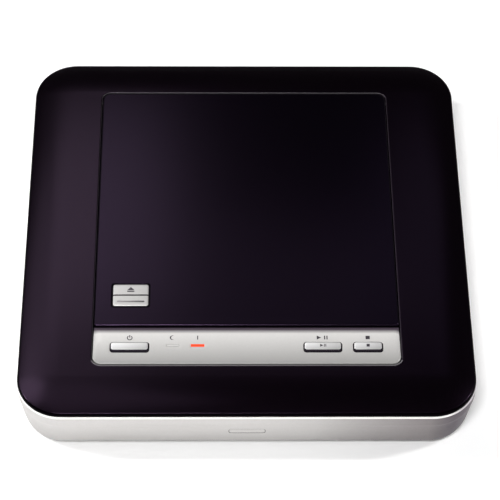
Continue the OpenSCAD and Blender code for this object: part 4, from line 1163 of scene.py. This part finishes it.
world = bpy.data.worlds.new("world")
bpy.context.scene.world = world
world.use_nodes = True
bg = world.node_tree.nodes["Background"]
bg.inputs["Color"].default_value = (1, 1, 1, 1)
wn, wl = world.node_tree.nodes, world.node_tree.links
wtc = wn.new("ShaderNodeTexCoord")
wsx = wn.new("ShaderNodeSeparateXYZ")
wmr = wn.new("ShaderNodeMapRange")
wmr.interpolation_type = "SMOOTHSTEP"
wmr.inputs["From Min"].default_value, wmr.inputs["From Max"].default_value = 0.16, 0.34
wmr.inputs["To Min"].default_value, wmr.inputs["To Max"].default_value = 1.0, 0.004
wl.new(wtc.outputs["Generated"], wsx.inputs[0])
wl.new(wsx.outputs["Z"], wmr.inputs["Value"])
wl.new(wmr.outputs["Result"], bg.inputs["Strength"])


def area(name, loc, target, size_x, size_y, power, color=(1, 1, 1)):
    l = bpy.data.lights.new(name, "AREA")
    l.shape, l.size, l.size_y, l.energy, l.color = "RECTANGLE", size_x, size_y, power, color
    o = bpy.data.objects.new(name, l)
    bpy.context.scene.collection.objects.link(o)
    o.location = loc
    o.rotation_mode = "QUATERNION"
    o.rotation_quaternion = (Vector(target) - Vector(loc)).to_track_quat("-Z", "Y")
    o.visible_camera = False
    return o


area("gloss_left", (-0.170, 0.452, 0.64), (-0.10, 0, 0.04), 0.22, 0.20, 0.296)
area("gloss_left_mid", (-0.19, 0.235, 0.60), (-0.10, 0, 0.04), 0.20, 0.20, 0.050)
area("gloss_left_near", (-0.165, 0.033, 0.45), (-0.10, -0.05, 0.04), 0.18, 0.18, 0.014)
area("gloss_left_front", (-0.13, -0.01, 0.45), (-0.10, -0.05, 0.04), 0.16, 0.16, 0.060)
area("gloss_left_side", (-0.36, 0.36, 0.60), (-0.10, 0, 0.04), 0.20, 0.20, 0.186)
area("gloss_left_low", (-0.30, 0.06, 0.42), (-0.10, 0, 0.04), 0.16, 0.16, 0.25)
area("gloss_mid", (0.04, 0.262, 0.49), (0.02, -0.03, 0.04), 0.14, 0.12, 0.021, (0.96, 0.92, 1.0))
area("gloss_right", (0.185, 0.29, 0.45), (0.10, 0, 0.04), 0.15, 0.18, 0.031, (0.80, 0.80, 1.0))
area("main_front", (-0.16, -0.68, 1.25), (0, 0, 0.03), 0.30, 0.25, 12.2)
area("low_front", (-0.13, -0.34, 0.07), (-0.10, -0.124, 0.02), 0.12, 0.05, 0.08)
area("high_left", (-1.1, 0.07, 0.95), (0, 0, 0.03), 0.10, 0.4, 10.4)
area("high_right", (1.1, 0.07, 0.95), (0, 0, 0.03), 0.10, 0.4, 8.8)

cam_data = bpy.data.cameras.new("camera")
cam = bpy.data.objects.new("camera", cam_data)
bpy.context.scene.collection.objects.link(cam)
cam_data.sensor_width = 36.0
cam_data.sensor_fit = "HORIZONTAL"
cam_data.lens = 2043.5 / 500 * 36
cam_data.shift_x = 0.0
cam_data.shift_y = 0.0
cam_data.clip_start, cam_data.clip_end = 0.05, 50
cam.location = (-0.0166, -0.6944, 0.9722)
cam.rotation_euler = (Matrix.Rotation(math.radians(36), 3, "X") @ Matrix.Rotation(-math.atan(33.6 / 2043.5), 3, "Y")).to_euler()
bpy.context.scene.camera = cam

vs = bpy.context.scene.view_settings
vs.view_transform = "Standard"
vs.look = "None"
vs.exposure = 0.0
vs.gamma = 1.0
